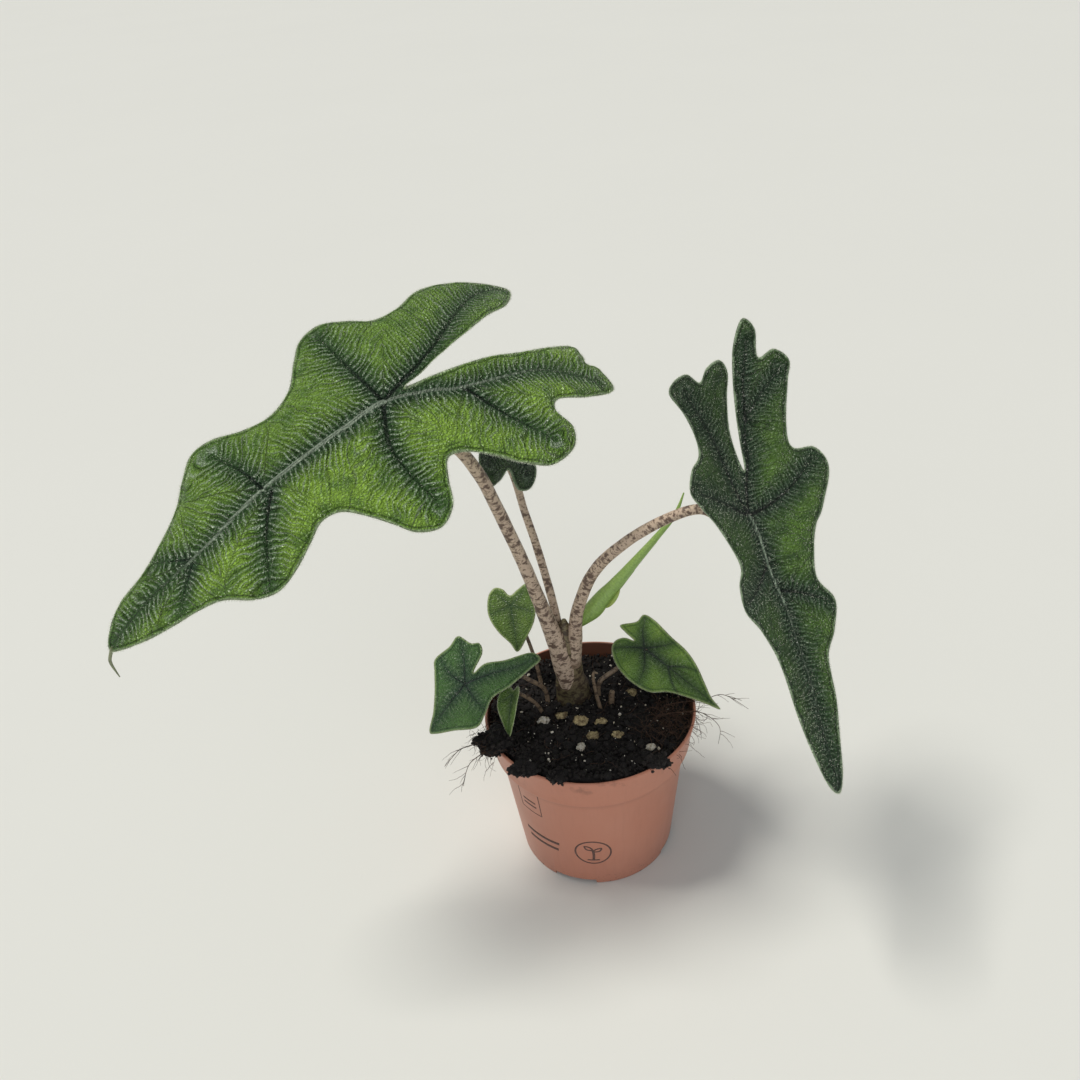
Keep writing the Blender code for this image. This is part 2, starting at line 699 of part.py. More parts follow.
def main():
    """Build the pot, the soil and the plant."""
    clear_scene()
    terracotta = material("terracotta_plastic", (0.43, 0.17, 0.11), 0.5)
    earth = material("potting_soil", (0.03, 0.02, 0.015), 0.95)
    mottled = material("mottled_petiole", (0.42, 0.27, 0.22), 0.5)
    bright = material("bright_leaf", (0.10, 0.26, 0.05), 0.45)
    dark = material("dark_leaf", (0.05, 0.15, 0.05), 0.5)
    young = material("young_leaf", (0.16, 0.36, 0.10), 0.5)
    white = material("perlite", (0.75, 0.72, 0.62), 0.9)
    bark = material("bark", (0.30, 0.20, 0.11), 0.9)
    dry = material("dry_fibre", (0.20, 0.13, 0.09), 0.9)

    build_pot(terracotta)
    soil = build_soil(earth)
    blades = aim_blades()
    build_blades(blades, bright, dark, young)
    build_stem(soil, mottled)
    build_big_stalks(blades, mottled, young)
    build_small_stalks(soil, blades, mottled, dry, young, bark)
    build_dry_tip(blades["large"], dry)
    build_grains(soil, white, bark)
    build_clumps(earth)
    build_roots(dry)


main()
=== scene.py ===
"""Dressed model of a young potted alocasia, built round its CAD frame.

Lobed hairy leaves stand on mottled stalks in a small terracotta-coloured nursery pot. Everything
ends in metres in the frame's own place. The plant's own sizes are written in millimetres, and
heights of the plant are above the pot's rim.
"""

import logging
import math
from dataclasses import dataclass, field
from enum import Enum
from typing import Any, Sequence

import bpy
import numpy as np
from mathutils import Matrix, Vector, noise
from mathutils.geometry import delaunay_2d_cdt


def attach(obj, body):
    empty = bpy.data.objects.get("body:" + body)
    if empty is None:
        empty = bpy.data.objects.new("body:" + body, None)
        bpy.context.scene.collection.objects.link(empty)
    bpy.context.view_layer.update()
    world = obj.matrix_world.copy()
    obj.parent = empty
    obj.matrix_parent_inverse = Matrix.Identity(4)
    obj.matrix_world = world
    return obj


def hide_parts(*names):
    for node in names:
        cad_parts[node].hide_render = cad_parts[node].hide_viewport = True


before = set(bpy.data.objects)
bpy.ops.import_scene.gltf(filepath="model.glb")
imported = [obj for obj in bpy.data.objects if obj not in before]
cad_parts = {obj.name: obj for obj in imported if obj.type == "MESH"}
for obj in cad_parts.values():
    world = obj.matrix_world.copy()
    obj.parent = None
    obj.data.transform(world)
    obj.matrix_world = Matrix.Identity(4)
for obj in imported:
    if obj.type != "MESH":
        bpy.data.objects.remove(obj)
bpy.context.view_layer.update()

MM = 0.001
BODY = "root"
LOG = logging.getLogger("alocasia")

POT_HEIGHT = 48.0
RIM_RADIUS = 30.0
BAND_FOOT = 37.7
BASE_RADIUS = 22.5
WALL_FOOT = 0.5
WALL_HEAD = 37.3
WALL_HEAD_RADIUS = 26.75
MARK_RADIUS = 24.3  # the pot's wall at the height of its marks
FIT_GAP = 0.3
STEM_FOOT = (-3.7, 7.3)
STEM_RADIUS = 5.3
STEM_TOP = 20.2
CROWN = STEM_TOP + 2.5 * FIT_GAP

Spot = tuple[float, float]
Place = tuple[float, float, float]
Array = np.ndarray


class Slot(Enum):
    """Material slots of the record, by what each one is."""

    POT = "pot_plastic"
    SOIL = "soil"
    PETIOLE = "petiole"
    DRY = "dry_stalk"
    BRIGHT = "leaf_bright"
    DARK = "leaf_dark"
    YOUNG = "leaf_young"
    PERLITE = "perlite"
    BARK = "bark"
    ROOT = "root"


# ---------------------------------------------------------------------------------------------
# Small tools
# ---------------------------------------------------------------------------------------------


def linear(colour: str) -> tuple[float, float, float, float]:
    """Turn an sRGB hex colour into the linear one that a shader takes.

    Args:
        colour: Six hex digits after a hash.

    Returns:
        Red, green, blue and an alpha of one.
    """
    parts = (int(colour[i : i + 2], 16) / 255 for i in (1, 3, 5))
    red, green, blue = (c / 12.92 if c <= 0.04045 else ((c + 0.055) / 1.055) ** 2.4 for c in parts)
    return red, green, blue, 1.0


def feed(tree: bpy.types.NodeTree, node: bpy.types.Node, sockets: dict) -> None:
    """Set or link a node's inputs.

    Args:
        tree: The material's or world's node tree.
        node: The node whose inputs they are.
        sockets: Each input by name or number, with a value or the socket that feeds it.
    """
    for name, value in sockets.items():
        if isinstance(value, bpy.types.NodeSocket):
            tree.links.new(value, node.inputs[name])
        else:
            node.inputs[name].default_value = value


def add_node(tree: bpy.types.NodeTree, kind: str, sockets: dict | None = None,
             out: int | str = 0, **settings: Any) -> bpy.types.NodeSocket:
    """Add a shader node with its settings and links.

    Args:
        tree: The material's or world's node tree.
        kind: The node's type, without its ShaderNode prefix.
        sockets: Each input by name or number, with a value or the socket that feeds it.
        out: The output that is wanted, by name or number.
        **settings: The node's own properties.

    Returns:
        The wanted output.
    """
    node = tree.nodes.new(f"ShaderNode{kind}")
    for name, value in settings.items():
        setattr(node, name, value)
    feed(tree, node, sockets or {})
    return node.outputs[out]


def new_surface(name: str) -> tuple[bpy.types.Material, bpy.types.NodeTree, bpy.types.Node]:
    """Start a material.

    Args:
        name: The material's name.

    Returns:
        The material, its node tree and its Principled shader.
    """
    material = bpy.data.materials.new(name)
    material.use_nodes = True
    return material, material.node_tree, material.node_tree.nodes["Principled BSDF"]


def smooth_line(points: Sequence, spacing: float, closed: bool = False) -> Array:
    """Sample the smooth line that passes through the given points.

    Args:
        points: The points, in two or more dimensions.
        spacing: The wanted distance between samples.
        closed: Whether the line returns to its start.

    Returns:
        The samples, one row each.
    """
    spots = np.asarray(points, float)
    count = len(spots)
    rows = []
    for i in range(count if closed else count - 1):
        picks = [(i + k) % count if closed else min(max(i + k, 0), count - 1) for k in (-1, 0, 1, 2)]
        before, start, end, after = spots[picks]
        steps = max(1, round(float(np.linalg.norm(end - start)) / spacing))
        part = (np.arange(steps) / steps)[:, None]
        square, cube = part**2, part**3
        rows.append(
            start * (2 * cube - 3 * square + 1) + (end - before) * 0.5 * (cube - 2 * square + part)
            + end * (3 * square - 2 * cube) + (after - start) * 0.5 * (cube - square)
        )
    if not closed:
        rows.append(spots[-1:])
    return np.vstack(rows)


def beside(spots: Array, line: Array, closed: bool = False) -> tuple[Array, Array, Array]:
    """Measure how each spot lies beside a line.

    Args:
        spots: Points to measure, one row each.
        line: The line's points.
        closed: Whether the line returns to its start.

    Returns:
        Distance from the line, length along it of the nearest point, and side (-1 or 1).
    """
    start = line if closed else line[:-1]
    end = np.roll(line, -1, axis=0) if closed else line[1:]
    run = end - start
    long = np.linalg.norm(run, axis=1)
    before = np.concatenate(([0.0], np.cumsum(long)[:-1]))
    found = []
    for batch in np.array_split(spots, max(1, len(spots) // 3000)):
        away = batch[:, None, :] - start[None]
        part = np.clip((away * run).sum(2) / np.maximum(long**2, 1e-12), 0, 1)
        gap = np.linalg.norm(away - part[..., None] * run, axis=2)
        pick = gap.argmin(1)
        rows = np.arange(len(batch))
        turn = run[pick, 0] * away[rows, pick, 1] - run[pick, 1] * away[rows, pick, 0]
        along = before[pick] + part[rows, pick] * long[pick]
        found.append(np.column_stack((gap[rows, pick], along, np.where(turn > 0, 1, -1))))
    gap, along, side = np.vstack(found).T
    return gap, along, side


def inside(spots: Array, rim: Array) -> Array:
    """Say which spots lie inside a closed outline.

    Args:
        spots: Points to test, one row each.
        rim: The outline's points.

    Returns:
        Whether each spot is inside.
    """
    start, end = rim, np.roll(rim, -1, axis=0)
    found = np.zeros(len(spots), bool)
    for (x0, y0), (x1, y1) in zip(start, end):
        if y0 != y1:
            spans = (y0 > spots[:, 1]) != (y1 > spots[:, 1])
            found ^= spans & (spots[:, 0] < x0 + (spots[:, 1] - y0) / (y1 - y0) * (x1 - x0))
    return found


def net_of(rim: Array, spacing: float) -> tuple[Array, Array]:
    """Fill an outline with an even net of triangles.

    Args:
        rim: The outline's points, which stay first in the result.
        spacing: The distance between neighbouring points.

    Returns:
        The net's points and its triangles, which turn anticlockwise.
    """
    low, high = rim.min(0), rim.max(0)
    height = spacing * math.sqrt(3) / 2
    rows = np.arange(low[1] + height / 2, high[1], height)
    columns = np.arange(low[0], high[0] + spacing, spacing)
    grid = np.array([(x + (k % 2) * spacing / 2, y) for k, y in enumerate(rows) for x in columns])
    grid = grid[inside(grid, rim)]
    grid = grid[beside(grid, rim, closed=True)[0] > 0.6 * spacing]
    points = [Vector(spot) for spot in np.vstack((rim, grid))]
    flat, _, faces, *_ = delaunay_2d_cdt(points, [], [list(range(len(rim)))], 1, 1e-6)
    spots = np.array([tuple(spot) for spot in flat])
    corners = np.array(faces)
    a, b, c = (spots[corners[:, k]] for k in range(3))
    turn = (b[:, 0] - a[:, 0]) * (c[:, 1] - a[:, 1]) - (b[:, 1] - a[:, 1]) * (c[:, 0] - a[:, 0])
    corners[turn < 0] = corners[turn < 0][:, ::-1]
    return spots, corners


def ease(value: Array, low: float, high: float) -> Array:
    """Rise smoothly from zero at low to one at high."""
    part = np.clip((value - low) / (high - low), 0, 1)
    return part * part * (3 - 2 * part)


def grain(points: Array, scale: float, seed: float) -> Array:
    """Return smooth random values, from about -1 to 1, at two or three-dimensional points."""
    shift = Vector((seed * 7.3, seed * 3.1, seed * 5.7))
    return np.array([noise.noise(Vector((*p, 0.0)[:3]) * scale + shift) for p in points.tolist()])


def write(mesh: bpy.types.Mesh, name: str, values: Array) -> None:
    """Store one number or one vector per point as an attribute that materials read.

    Args:
        mesh: The piece's mesh.
        name: The attribute's name.
        values: One row for each point.
    """
    kind, key = ("FLOAT", "value") if values.ndim == 1 else ("FLOAT_VECTOR", "vector")
    layer = mesh.attributes.new(name, kind, "POINT")
    layer.data.foreach_set(key, values.astype(np.float32).ravel())


def places_of(piece: bpy.types.Object) -> Array:
    """Read a piece's mesh points.

    Args:
        piece: The piece.

    Returns:
        Its points in metres, one row each.
    """
    flat = np.empty(len(piece.data.vertices) * 3, np.float32)
    piece.data.vertices.foreach_get("co", flat)
    return flat.reshape(-1, 3).astype(float)


def move_to(piece: bpy.types.Object, places: Array) -> None:
    """Put a piece's mesh points at new places, in metres."""
    piece.data.vertices.foreach_set("co", places.astype(np.float32).ravel())
    piece.data.update()


def piece_from(name: str, places: Array, faces: Sequence, finishes: Sequence) -> bpy.types.Object:
    """Make a smooth piece from its points and faces.

    Args:
        name: The piece's name.
        places: Its points in metres, one row each.
        faces: Each face's corners by number, anticlockwise from outside.
        finishes: Its materials.

    Returns:
        The piece.
    """
    data = bpy.data.meshes.new(name)
    data.from_pydata(places.tolist(), [], [list(face) for face in faces])
    data.shade_smooth()
    piece = bpy.data.objects.new(name, data)
    bpy.context.scene.collection.objects.link(piece)
    for finish in finishes:
        data.materials.append(finish)
    return piece


def start_piece(name: str) -> bpy.types.Object:
    """Name the primitive that was just added.

    Args:
        name: The piece's name, which its mesh gets too.

    Returns:
        The piece, which is still the active one.
    """
    piece = bpy.context.object
    piece.name = piece.data.name = name
    return piece


def select_only(piece: bpy.types.Object) -> None:
    """Make a piece the only one that the next operators act on.

    Args:
        piece: The piece.
    """
    deselect()
    piece.select_set(True)
    bpy.context.view_layer.objects.active = piece


def deselect() -> None:
    """Leave object mode with nothing selected, so that operators act on new work only."""
    if bpy.context.object and bpy.context.object.mode != "OBJECT":
        bpy.ops.object.mode_set(mode="OBJECT")
    bpy.ops.object.select_all(action="DESELECT")


def settle(piece: bpy.types.Object, slot: Slot, *nodes: str) -> bpy.types.Object:
    """Hand a finished piece to the frame.

    Args:
        piece: The piece, at the origin with its place in its mesh.
        slot: The record's material slot, which is not used.
        *nodes: The CAD nodes that it stands for.

    Returns:
        The same piece.
    """
    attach(piece, BODY)
    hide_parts(*nodes)
    LOG.info("%s: %d points for %s", piece.name, len(piece.data.vertices), ", ".join(nodes))
    return piece


def above(x: float, y: float, height: float) -> Place:
    """Return a point by its height above the pot's rim."""
    return x, y, POT_HEIGHT + height


def by_stem(angle: float, clear: float, height: float) -> Place:
    """Return a point round the stem's foot, this far from its skin and above the rim."""
    turn, reach = math.radians(angle), STEM_RADIUS + clear
    return above(
        STEM_FOOT[0] + reach * math.cos(turn), STEM_FOOT[1] + reach * math.sin(turn), height
    )


def by_rim(angle: float, beyond: float, height: float) -> Place:
    """Return a point by its angle, its distance outside the rim and its height above it."""
    turn, reach = math.radians(angle), RIM_RADIUS + beyond
    return above(reach * math.cos(turn), reach * math.sin(turn), height)


def soil_level(x: float, y: float) -> float:
    """Return the height of the soil's surface above the pot's base."""
    rough = noise.noise(Vector((x, y, 3.0)) * 0.21) + 0.6 * noise.noise(Vector((x, y, 9.0)) * 0.5)
    return POT_HEIGHT + min(-2.4 - 0.06 * (x + y) + 0.8 * rough, -0.2)


# ---------------------------------------------------------------------------------------------
# Finishes
# ---------------------------------------------------------------------------------------------


@dataclass(frozen=True)
class LeafFinish:
    """Living leaf blade: dark by its veins, yellow-green between them, quilted and waxy.

    The blade's attributes say where its veins, ribs and margin are. Ribs are creases
    1.2 to 1.5 mm apart, and the finest net has meshes of about 0.8 mm. Light is painted in too:
    shade in the creases, a silvery highlight on the rib crests and along the main veins, and a
    yellow-green that partly stands for light through the blade.
    """

    name: str
    dark: str
    mid: str
    bright: str
    crease: str
    vein: str
    painted_sheen: str
    margin: str
    gloss: float = 0.42
    rib_depth: float = 0.22
    net_depth: float = 0.16
    crease_share: float = 0.62
    crest_share: float = 0.3

    def build(self) -> bpy.types.Material:
        """Build the blade's material.

        Returns:
            The material.
        """
        material, tree, shader = new_surface(self.name)
        halo, vein, painted_sheen, glow, edge, phase, reach = (
            add_node(tree, "Attribute", out="Fac", attribute_name=name)
            for name in ("halo", "vein", "painted_sheen", "glow", "edge", "phase", "reach")
        )
        plane = add_node(tree, "Attribute", out="Vector", attribute_name="plane")
        patch = add_node(tree, "TexNoise", {"Vector": plane, "Scale": 0.22, "Detail": 4.0})
        speckle = add_node(tree, "TexNoise", {"Vector": plane, "Scale": 2.4, "Detail": 3.0})
        warp = add_node(tree, "TexNoise", {"Vector": plane, "Scale": 0.5, "Detail": 2.0}, out="Color")
        bent = add_node(tree, "VectorMath", {0: warp, 1: (1.6, 1.6, 0.0)}, operation="MULTIPLY")
        bent = add_node(tree, "VectorMath", {0: plane, 1: bent}, operation="ADD")
        cells = add_node(tree, "TexVoronoi", {"Vector": bent, "Scale": 1.25},
                         feature="DISTANCE_TO_EDGE", voronoi_dimensions="2D")
        net = add_node(tree, "MapRange", {"Value": cells, "From Max": 0.12, "To Min": 1.0, "To Max": 0.0})
        wave = add_node(tree, "Math", {0: phase, 1: 0.5}, operation="PINGPONG")
        rib = add_node(tree, "MapRange", {"Value": wave, "From Max": 0.17, "To Min": 1.0, "To Max": 0.0})
        rib = add_node(tree, "Math", {0: rib, 1: reach}, operation="MULTIPLY")
        wide = add_node(tree, "Math", {0: phase, 1: 0.27}, operation="MULTIPLY")
        wide = add_node(tree, "Math", {0: wide, 1: 0.5}, operation="PINGPONG")
        wide = add_node(tree, "MapRange", {"Value": wide, "From Max": 0.06, "To Min": 0.75, "To Max": 0.0})
        net = add_node(tree, "Math", {0: net, 1: 0.5}, operation="MULTIPLY")
        # Painted shade: the crease colour goes into the rib troughs and the net's low lines, where the bump
        # sinks; the wider bands are pattern.
        lines = add_node(tree, "Math", {0: rib, 1: net}, operation="MAXIMUM")
        lines = add_node(tree, "Math", {0: lines, 1: wide}, operation="MAXIMUM")
        lines = add_node(tree, "Math", {0: lines, 1: self.crease_share}, operation="MULTIPLY")
        # Yellow-green patches: partly the leaf's own colour and partly painted light through the blade.
        lit = add_node(tree, "MapRange", {"Value": patch, "From Min": 0.27, "From Max": 0.56})
        lit = add_node(tree, "Math", {0: lit, 1: glow}, operation="MULTIPLY")
        colour = add_node(tree, "Mix", {0: halo, 6: linear(self.mid), 7: linear(self.dark)},
                          out=2, data_type="RGBA")
        colour = add_node(tree, "Mix", {0: lit, 6: colour, 7: linear(self.bright)},
                          out=2, data_type="RGBA")
        tone = add_node(tree, "MapRange", {"Value": speckle, "From Min": 0.3, "From Max": 0.7,
                                           "To Min": 0.78, "To Max": 1.2})
        colour = add_node(tree, "HueSaturation", {"Value": tone, "Color": colour})
        # Painted highlight: the sheen colour on the rib crests, flecked by the speckle noise.
        top = add_node(tree, "MapRange", {"Value": wave, "From Min": 0.28, "From Max": 0.46})
        top = add_node(tree, "Math", {0: top, 1: reach}, operation="MULTIPLY")
        glint = add_node(tree, "MapRange", {"Value": speckle, "From Min": 0.42, "From Max": 0.6,
                                            "To Min": 0.15, "To Max": self.crest_share * 2})
        top = add_node(tree, "Math", {0: top, 1: glint}, operation="MULTIPLY")
        rim = add_node(tree, "MapRange", {"Value": edge, "From Min": 0.15, "From Max": 0.6,
                                          "To Min": 0.85, "To Max": 0.0})
        ring = add_node(tree, "Math", {0: edge, 1: 0.95}, operation="SUBTRACT")
        ring = add_node(tree, "Math", {0: ring}, operation="ABSOLUTE")
        ring = add_node(tree, "MapRange", {"Value": ring, "From Max": 0.3, "To Min": 0.7, "To Max": 0.0})
        # Laid on in turn: painted sheen on the crests, painted crease shade, the darker margin line, the
        # pale margin, the dark veins and painted sheen along the veins.
        for share, tint in ((top, self.painted_sheen), (lines, self.crease), (ring, self.crease),
                            (rim, self.margin), (vein, self.vein), (painted_sheen, self.painted_sheen)):
            colour = add_node(tree, "Mix", {0: share, 6: colour, 7: linear(tint)},
                              out=2, data_type="RGBA")
        crest = add_node(tree, "Math", {0: wave, 1: reach}, operation="MULTIPLY")
        crest = add_node(tree, "Math", {0: crest, 1: 2 * self.rib_depth}, operation="MULTIPLY")
        puff = add_node(tree, "Math", {0: cells, 1: self.net_depth / 0.35}, operation="MULTIPLY")
        height = add_node(tree, "Math", {0: crest, 1: puff}, operation="ADD")
        fine = add_node(tree, "Math", {0: speckle, 1: 0.05}, operation="MULTIPLY")
        height = add_node(tree, "Math", {0: height, 1: fine}, operation="ADD")
        bump = add_node(tree, "Bump", {"Strength": 1.0, "Distance": MM, "Height": height})
        rough = add_node(tree, "MapRange", {"Value": speckle, "From Min": 0.3, "From Max": 0.7,
                                            "To Min": self.gloss - 0.08, "To Max": self.gloss + 0.1})
        feed(tree, shader, {"Base Color": colour, "Roughness": rough, "Normal": bump,
                            "IOR": 1.45, "Specular IOR Level": 0.6})
        return material


@dataclass(frozen=True)
class StalkFinish:
    """Fleshy petiole skin: pinkish ground under short dark bands that wrap part of the way round.

    The bands are a little over 1 mm tall and about 2 mm round, read from the skin's own
    coordinates.
    """

    name: str
    ground: str
    flush: str
    band: str
    foot: str
    coverage: float
    foot_height: float

    def build(self) -> bpy.types.Material:
        """Build the skin's material.

        Returns:
            The material.
        """
        material, tree, shader = new_surface(self.name)
        along = add_node(tree, "Attribute", out="Fac", attribute_name="along")
        around = add_node(tree, "Attribute", out="Vector", attribute_name="around")
        flow = add_node(tree, "Math", {0: along, 1: 0.8}, operation="MULTIPLY")
        blotch = add_node(tree, "TexNoise", {"Vector": around, "W": flow, "Scale": 1.0,
                                             "Detail": 3.0, "Roughness": 0.6}, noise_dimensions="4D")
        freckle = add_node(tree, "TexNoise", {"Vector": around, "W": flow, "Scale": 2.9,
                                              "Detail": 2.0}, noise_dimensions="4D")
        cloud = add_node(tree, "TexNoise", {"Vector": around, "W": flow, "Scale": 0.12,
                                            "Detail": 2.0}, noise_dimensions="4D")
        level = 0.62 - 0.24 * self.coverage
        bands = add_node(tree, "MapRange", {"Value": blotch, "From Min": level,
                                            "From Max": level + 0.07, "To Max": 0.85})
        dots = add_node(tree, "MapRange", {"Value": freckle, "From Min": 0.55, "From Max": 0.62,
                                           "To Max": 0.7})
        marks = add_node(tree, "Math", {0: bands, 1: dots}, operation="MAXIMUM")
        low = add_node(tree, "MapRange", {"Value": along, "From Min": 0.0,
                                          "From Max": self.foot_height, "To Min": 0.9, "To Max": 0.0})
        colour = linear(self.ground)
        for share, tint in ((cloud, self.flush), (marks, self.band), (low, self.foot)):
            colour = add_node(tree, "Mix", {0: share, 6: colour, 7: linear(tint)},
                              out=2, data_type="RGBA")
        height = add_node(tree, "Math", {0: freckle, 1: 0.09}, operation="MULTIPLY")
        bump = add_node(tree, "Bump", {"Strength": 1.0, "Distance": MM, "Height": height})
        feed(tree, shader, {"Base Color": colour, "Roughness": 0.52, "Normal": bump, "IOR": 1.45})
        return material


@dataclass(frozen=True)
class PlasticFinish:
    """Moulded polypropylene in terracotta: satin, faintly clouded, scuffed on its rim band, with a painted
    shadow beneath the band.
    """

    name: str = "polypropylene_moulded_terracotta"
    colour: str = "#ba7860"
    pale: str = "#c48973"
    dark: str = "#8e5a49"
    dirt_and_shadow: str = "#2a1f1b"

    def build(self) -> bpy.types.Material:
        """Build the plastic's material.

        Returns:
            The material.
        """
        material, tree, shader = new_surface(self.name)
        here = add_node(tree, "TexCoord", out="Object")
        upward = add_node(tree, "SeparateXYZ", {"Vector": here}, out="Z")
        cloud = add_node(tree, "TexNoise", {"Vector": here, "Scale": 60.0, "Detail": 4.0})
        streak_map = add_node(tree, "Mapping", {"Vector": here, "Scale": (900.0, 900.0, 60.0)})
        streak = add_node(tree, "TexNoise", {"Vector": streak_map, "Scale": 1.0, "Detail": 3.0})
        dust = add_node(tree, "TexNoise", {"Vector": here, "Scale": 1500.0, "Detail": 3.0})
        smear = add_node(tree, "TexNoise", {"Vector": here, "Scale": 140.0, "Detail": 5.0,
                                            "Roughness": 0.65})
        faint = add_node(tree, "MapRange", {"Value": streak, "From Min": 0.5, "From Max": 0.8,
                                            "To Max": 0.1})
        on_rim = add_node(tree, "MapRange", {"Value": upward, "From Min": BAND_FOOT * MM,
                                             "From Max": POT_HEIGHT * MM})
        scuff = add_node(tree, "MapRange", {"Value": smear, "From Min": 0.57, "From Max": 0.72,
                                            "To Max": 0.55})
        scuff = add_node(tree, "Math", {0: scuff, 1: on_rim}, operation="MULTIPLY")
        near_foot = add_node(tree, "MapRange", {"Value": upward, "From Max": 5 * MM,
                                                "To Min": 1.0, "To Max": 0.0})
        specks = add_node(tree, "MapRange", {"Value": dust, "From Min": 0.6, "From Max": 0.68,
                                             "To Max": 0.8})
        specks = add_node(tree, "Math", {0: specks, 1: near_foot}, operation="MULTIPLY")
        # Painted shadow: a dark strip on the wall just beneath the band.
        painted_band_shadow = add_node(tree, "MapRange", {"Value": upward, "From Min": (BAND_FOOT - 3.2) * MM,
                                              "From Max": BAND_FOOT * MM, "To Max": 0.3})
        not_rim = add_node(tree, "Math", {0: upward, 1: BAND_FOOT * MM}, operation="LESS_THAN")
        painted_band_shadow = add_node(tree, "Math", {0: painted_band_shadow, 1: not_rim}, operation="MULTIPLY")
        # Dust specks and scuffs are marks on the plastic; the strip beneath the band is painted shadow; all
        # take the dark colour.
        marks = add_node(tree, "Math", {0: specks, 1: scuff}, operation="MAXIMUM")
        marks = add_node(tree, "Math", {0: marks, 1: painted_band_shadow}, operation="MAXIMUM")
        colour = linear(self.colour)
        for share, tint in ((cloud, self.pale), (faint, self.dark), (marks, self.dirt_and_shadow)):
            colour = add_node(tree, "Mix", {0: share, 6: colour, 7: linear(tint)},
                              out=2, data_type="RGBA")
        rough = add_node(tree, "MapRange", {"Value": smear, "To Min": 0.36, "To Max": 0.5})
        height = add_node(tree, "Math", {0: dust, 1: 0.02}, operation="MULTIPLY")
        bump = add_node(tree, "Bump", {"Strength": 0.6, "Distance": MM, "Height": height})
        feed(tree, shader, {"Base Color": colour, "Roughness": rough, "Normal": bump, "IOR": 1.49})
        return material


@dataclass(frozen=True)
class MottledFinish:
    """Rough natural matter: peat, bark, perlite, root fibre, hair or printing ink.

    Two tones cloud into each other at a size in millimetres, with a bump of the same grain.
    """

    name: str
    colour: str
    other: str
    size: float
    depth: float
    roughness: float

    def build(self) -> bpy.types.Material:
        """Build the matter's material.

        Returns:
            The material.
        """
        material, tree, shader = new_surface(self.name)
        here = add_node(tree, "TexCoord", out="Object")
        scale = 1 / (self.size * MM)
        cloud = add_node(tree, "TexNoise", {"Vector": here, "Scale": scale, "Detail": 5.0,
                                            "Roughness": 0.65})
        share = add_node(tree, "MapRange", {"Value": cloud, "From Min": 0.35, "From Max": 0.66})
        colour = add_node(tree, "Mix", {0: share, 6: linear(self.colour), 7: linear(self.other)},
                          out=2, data_type="RGBA")
        height = add_node(tree, "Math", {0: cloud, 1: self.depth}, operation="MULTIPLY")
        bump = add_node(tree, "Bump", {"Strength": 1.0, "Distance": MM, "Height": height})
        feed(tree, shader, {"Base Color": colour, "Roughness": self.roughness, "Normal": bump})
        return material


# Waxy upper sides: the quilting, the dark veins, the painted crease shade and the painted sheen come from
# the blade's own attributes.
BRIGHT_LEAF = LeafFinish("leaf_waxy_quilted_bright", dark="#2b4a2e", mid="#547c34",
                         bright="#95bf45", crease="#122408", vein="#0c1a10", painted_sheen="#aebfa8",
                         margin="#b3c79c", gloss=0.31, rib_depth=0.5, net_depth=0.4,
                         crease_share=0.9, crest_share=0.72)
DARK_LEAF = LeafFinish("leaf_waxy_bristly_dark", dark="#1b3020", mid="#294526", bright="#6d9436",
                       crease="#0d1a11", vein="#0a140e", painted_sheen="#8c9f89", margin="#9fb393",
                       gloss=0.4, rib_depth=0.36, net_depth=0.3, crease_share=0.8, crest_share=0.34)
YOUNG_LEAF = LeafFinish("leaf_waxy_young", dark="#263d22", mid="#668a38", bright="#93b34a",
                        crease="#2c4a22", vein="#14241a", painted_sheen="#8fa37c", margin="#a9b880",
                        gloss=0.38, rib_depth=0.14, net_depth=0.16, crease_share=0.5,
                        crest_share=0.15)
SHADED_LEAF = LeafFinish("leaf_waxy_young_shaded", dark="#284231", mid="#4a6f3b", bright="#6f9842",
                         crease="#21391d", vein="#12221a", painted_sheen="#8fa37c", margin="#9cae7a",
                         gloss=0.38, rib_depth=0.18, net_depth=0.2, crease_share=0.6,
                         crest_share=0.2)
PALE_LEAF = LeafFinish("leaf_waxy_pale_green", dark="#3d5426", mid="#5a7730", bright="#7f9a40",
                       crease="#48652c", vein="#34502a", painted_sheen="#93a66c", margin="#a9b980",
                       gloss=0.4, rib_depth=0.12, net_depth=0.14, crease_share=0.4,
                       crest_share=0.12)
# Undersides: duller and paler, with the veins standing proud.
UNDER_LEAF = LeafFinish("leaf_underside_matte", dark="#4f6a3c", mid="#5f7d43", bright="#7b9a50",
                        crease="#4b6638", vein="#86995f", painted_sheen="#93a56c", margin="#8aa070",
                        gloss=0.6, rib_depth=0.1, net_depth=0.12, crease_share=0.4)
# Fleshy stalk skin, satin: chocolate bands on dusty pink.
STALK_SKIN = StalkFinish("petiole_skin_banded", ground="#bca492", flush="#cbb8a0", band="#452d25",
                         foot="#7b6753", coverage=0.48, foot_height=4.0)
# Older sheath skin: denser marks over olive, nearly black where it meets the soil.
STEM_SKIN = StalkFinish("sheath_skin_mottled", ground="#85705d", flush="#747449", band="#3a2a22",
                        foot="#211913", coverage=0.6, foot_height=20.0)
# Withered leaf tip: grey-green, with little contrast left.
TIP_SKIN = StalkFinish("leaf_tip_withered", ground="#8f9578", flush="#7d8466", band="#5f644c",
                       foot="#66704f", coverage=0.35, foot_height=1.5)
# Drying thin stalks: dull brown and only faintly marked.
THIN_SKIN = StalkFinish("petiole_skin_dry", ground="#7d6a5a", flush="#8d7a62", band="#45372d",
                        foot="#3a2d25", coverage=0.4, foot_height=6.0)
# Moulded polypropylene, as the pot leaves its mould: even terracotta with a satin shine.
PLASTIC = PlasticFinish()
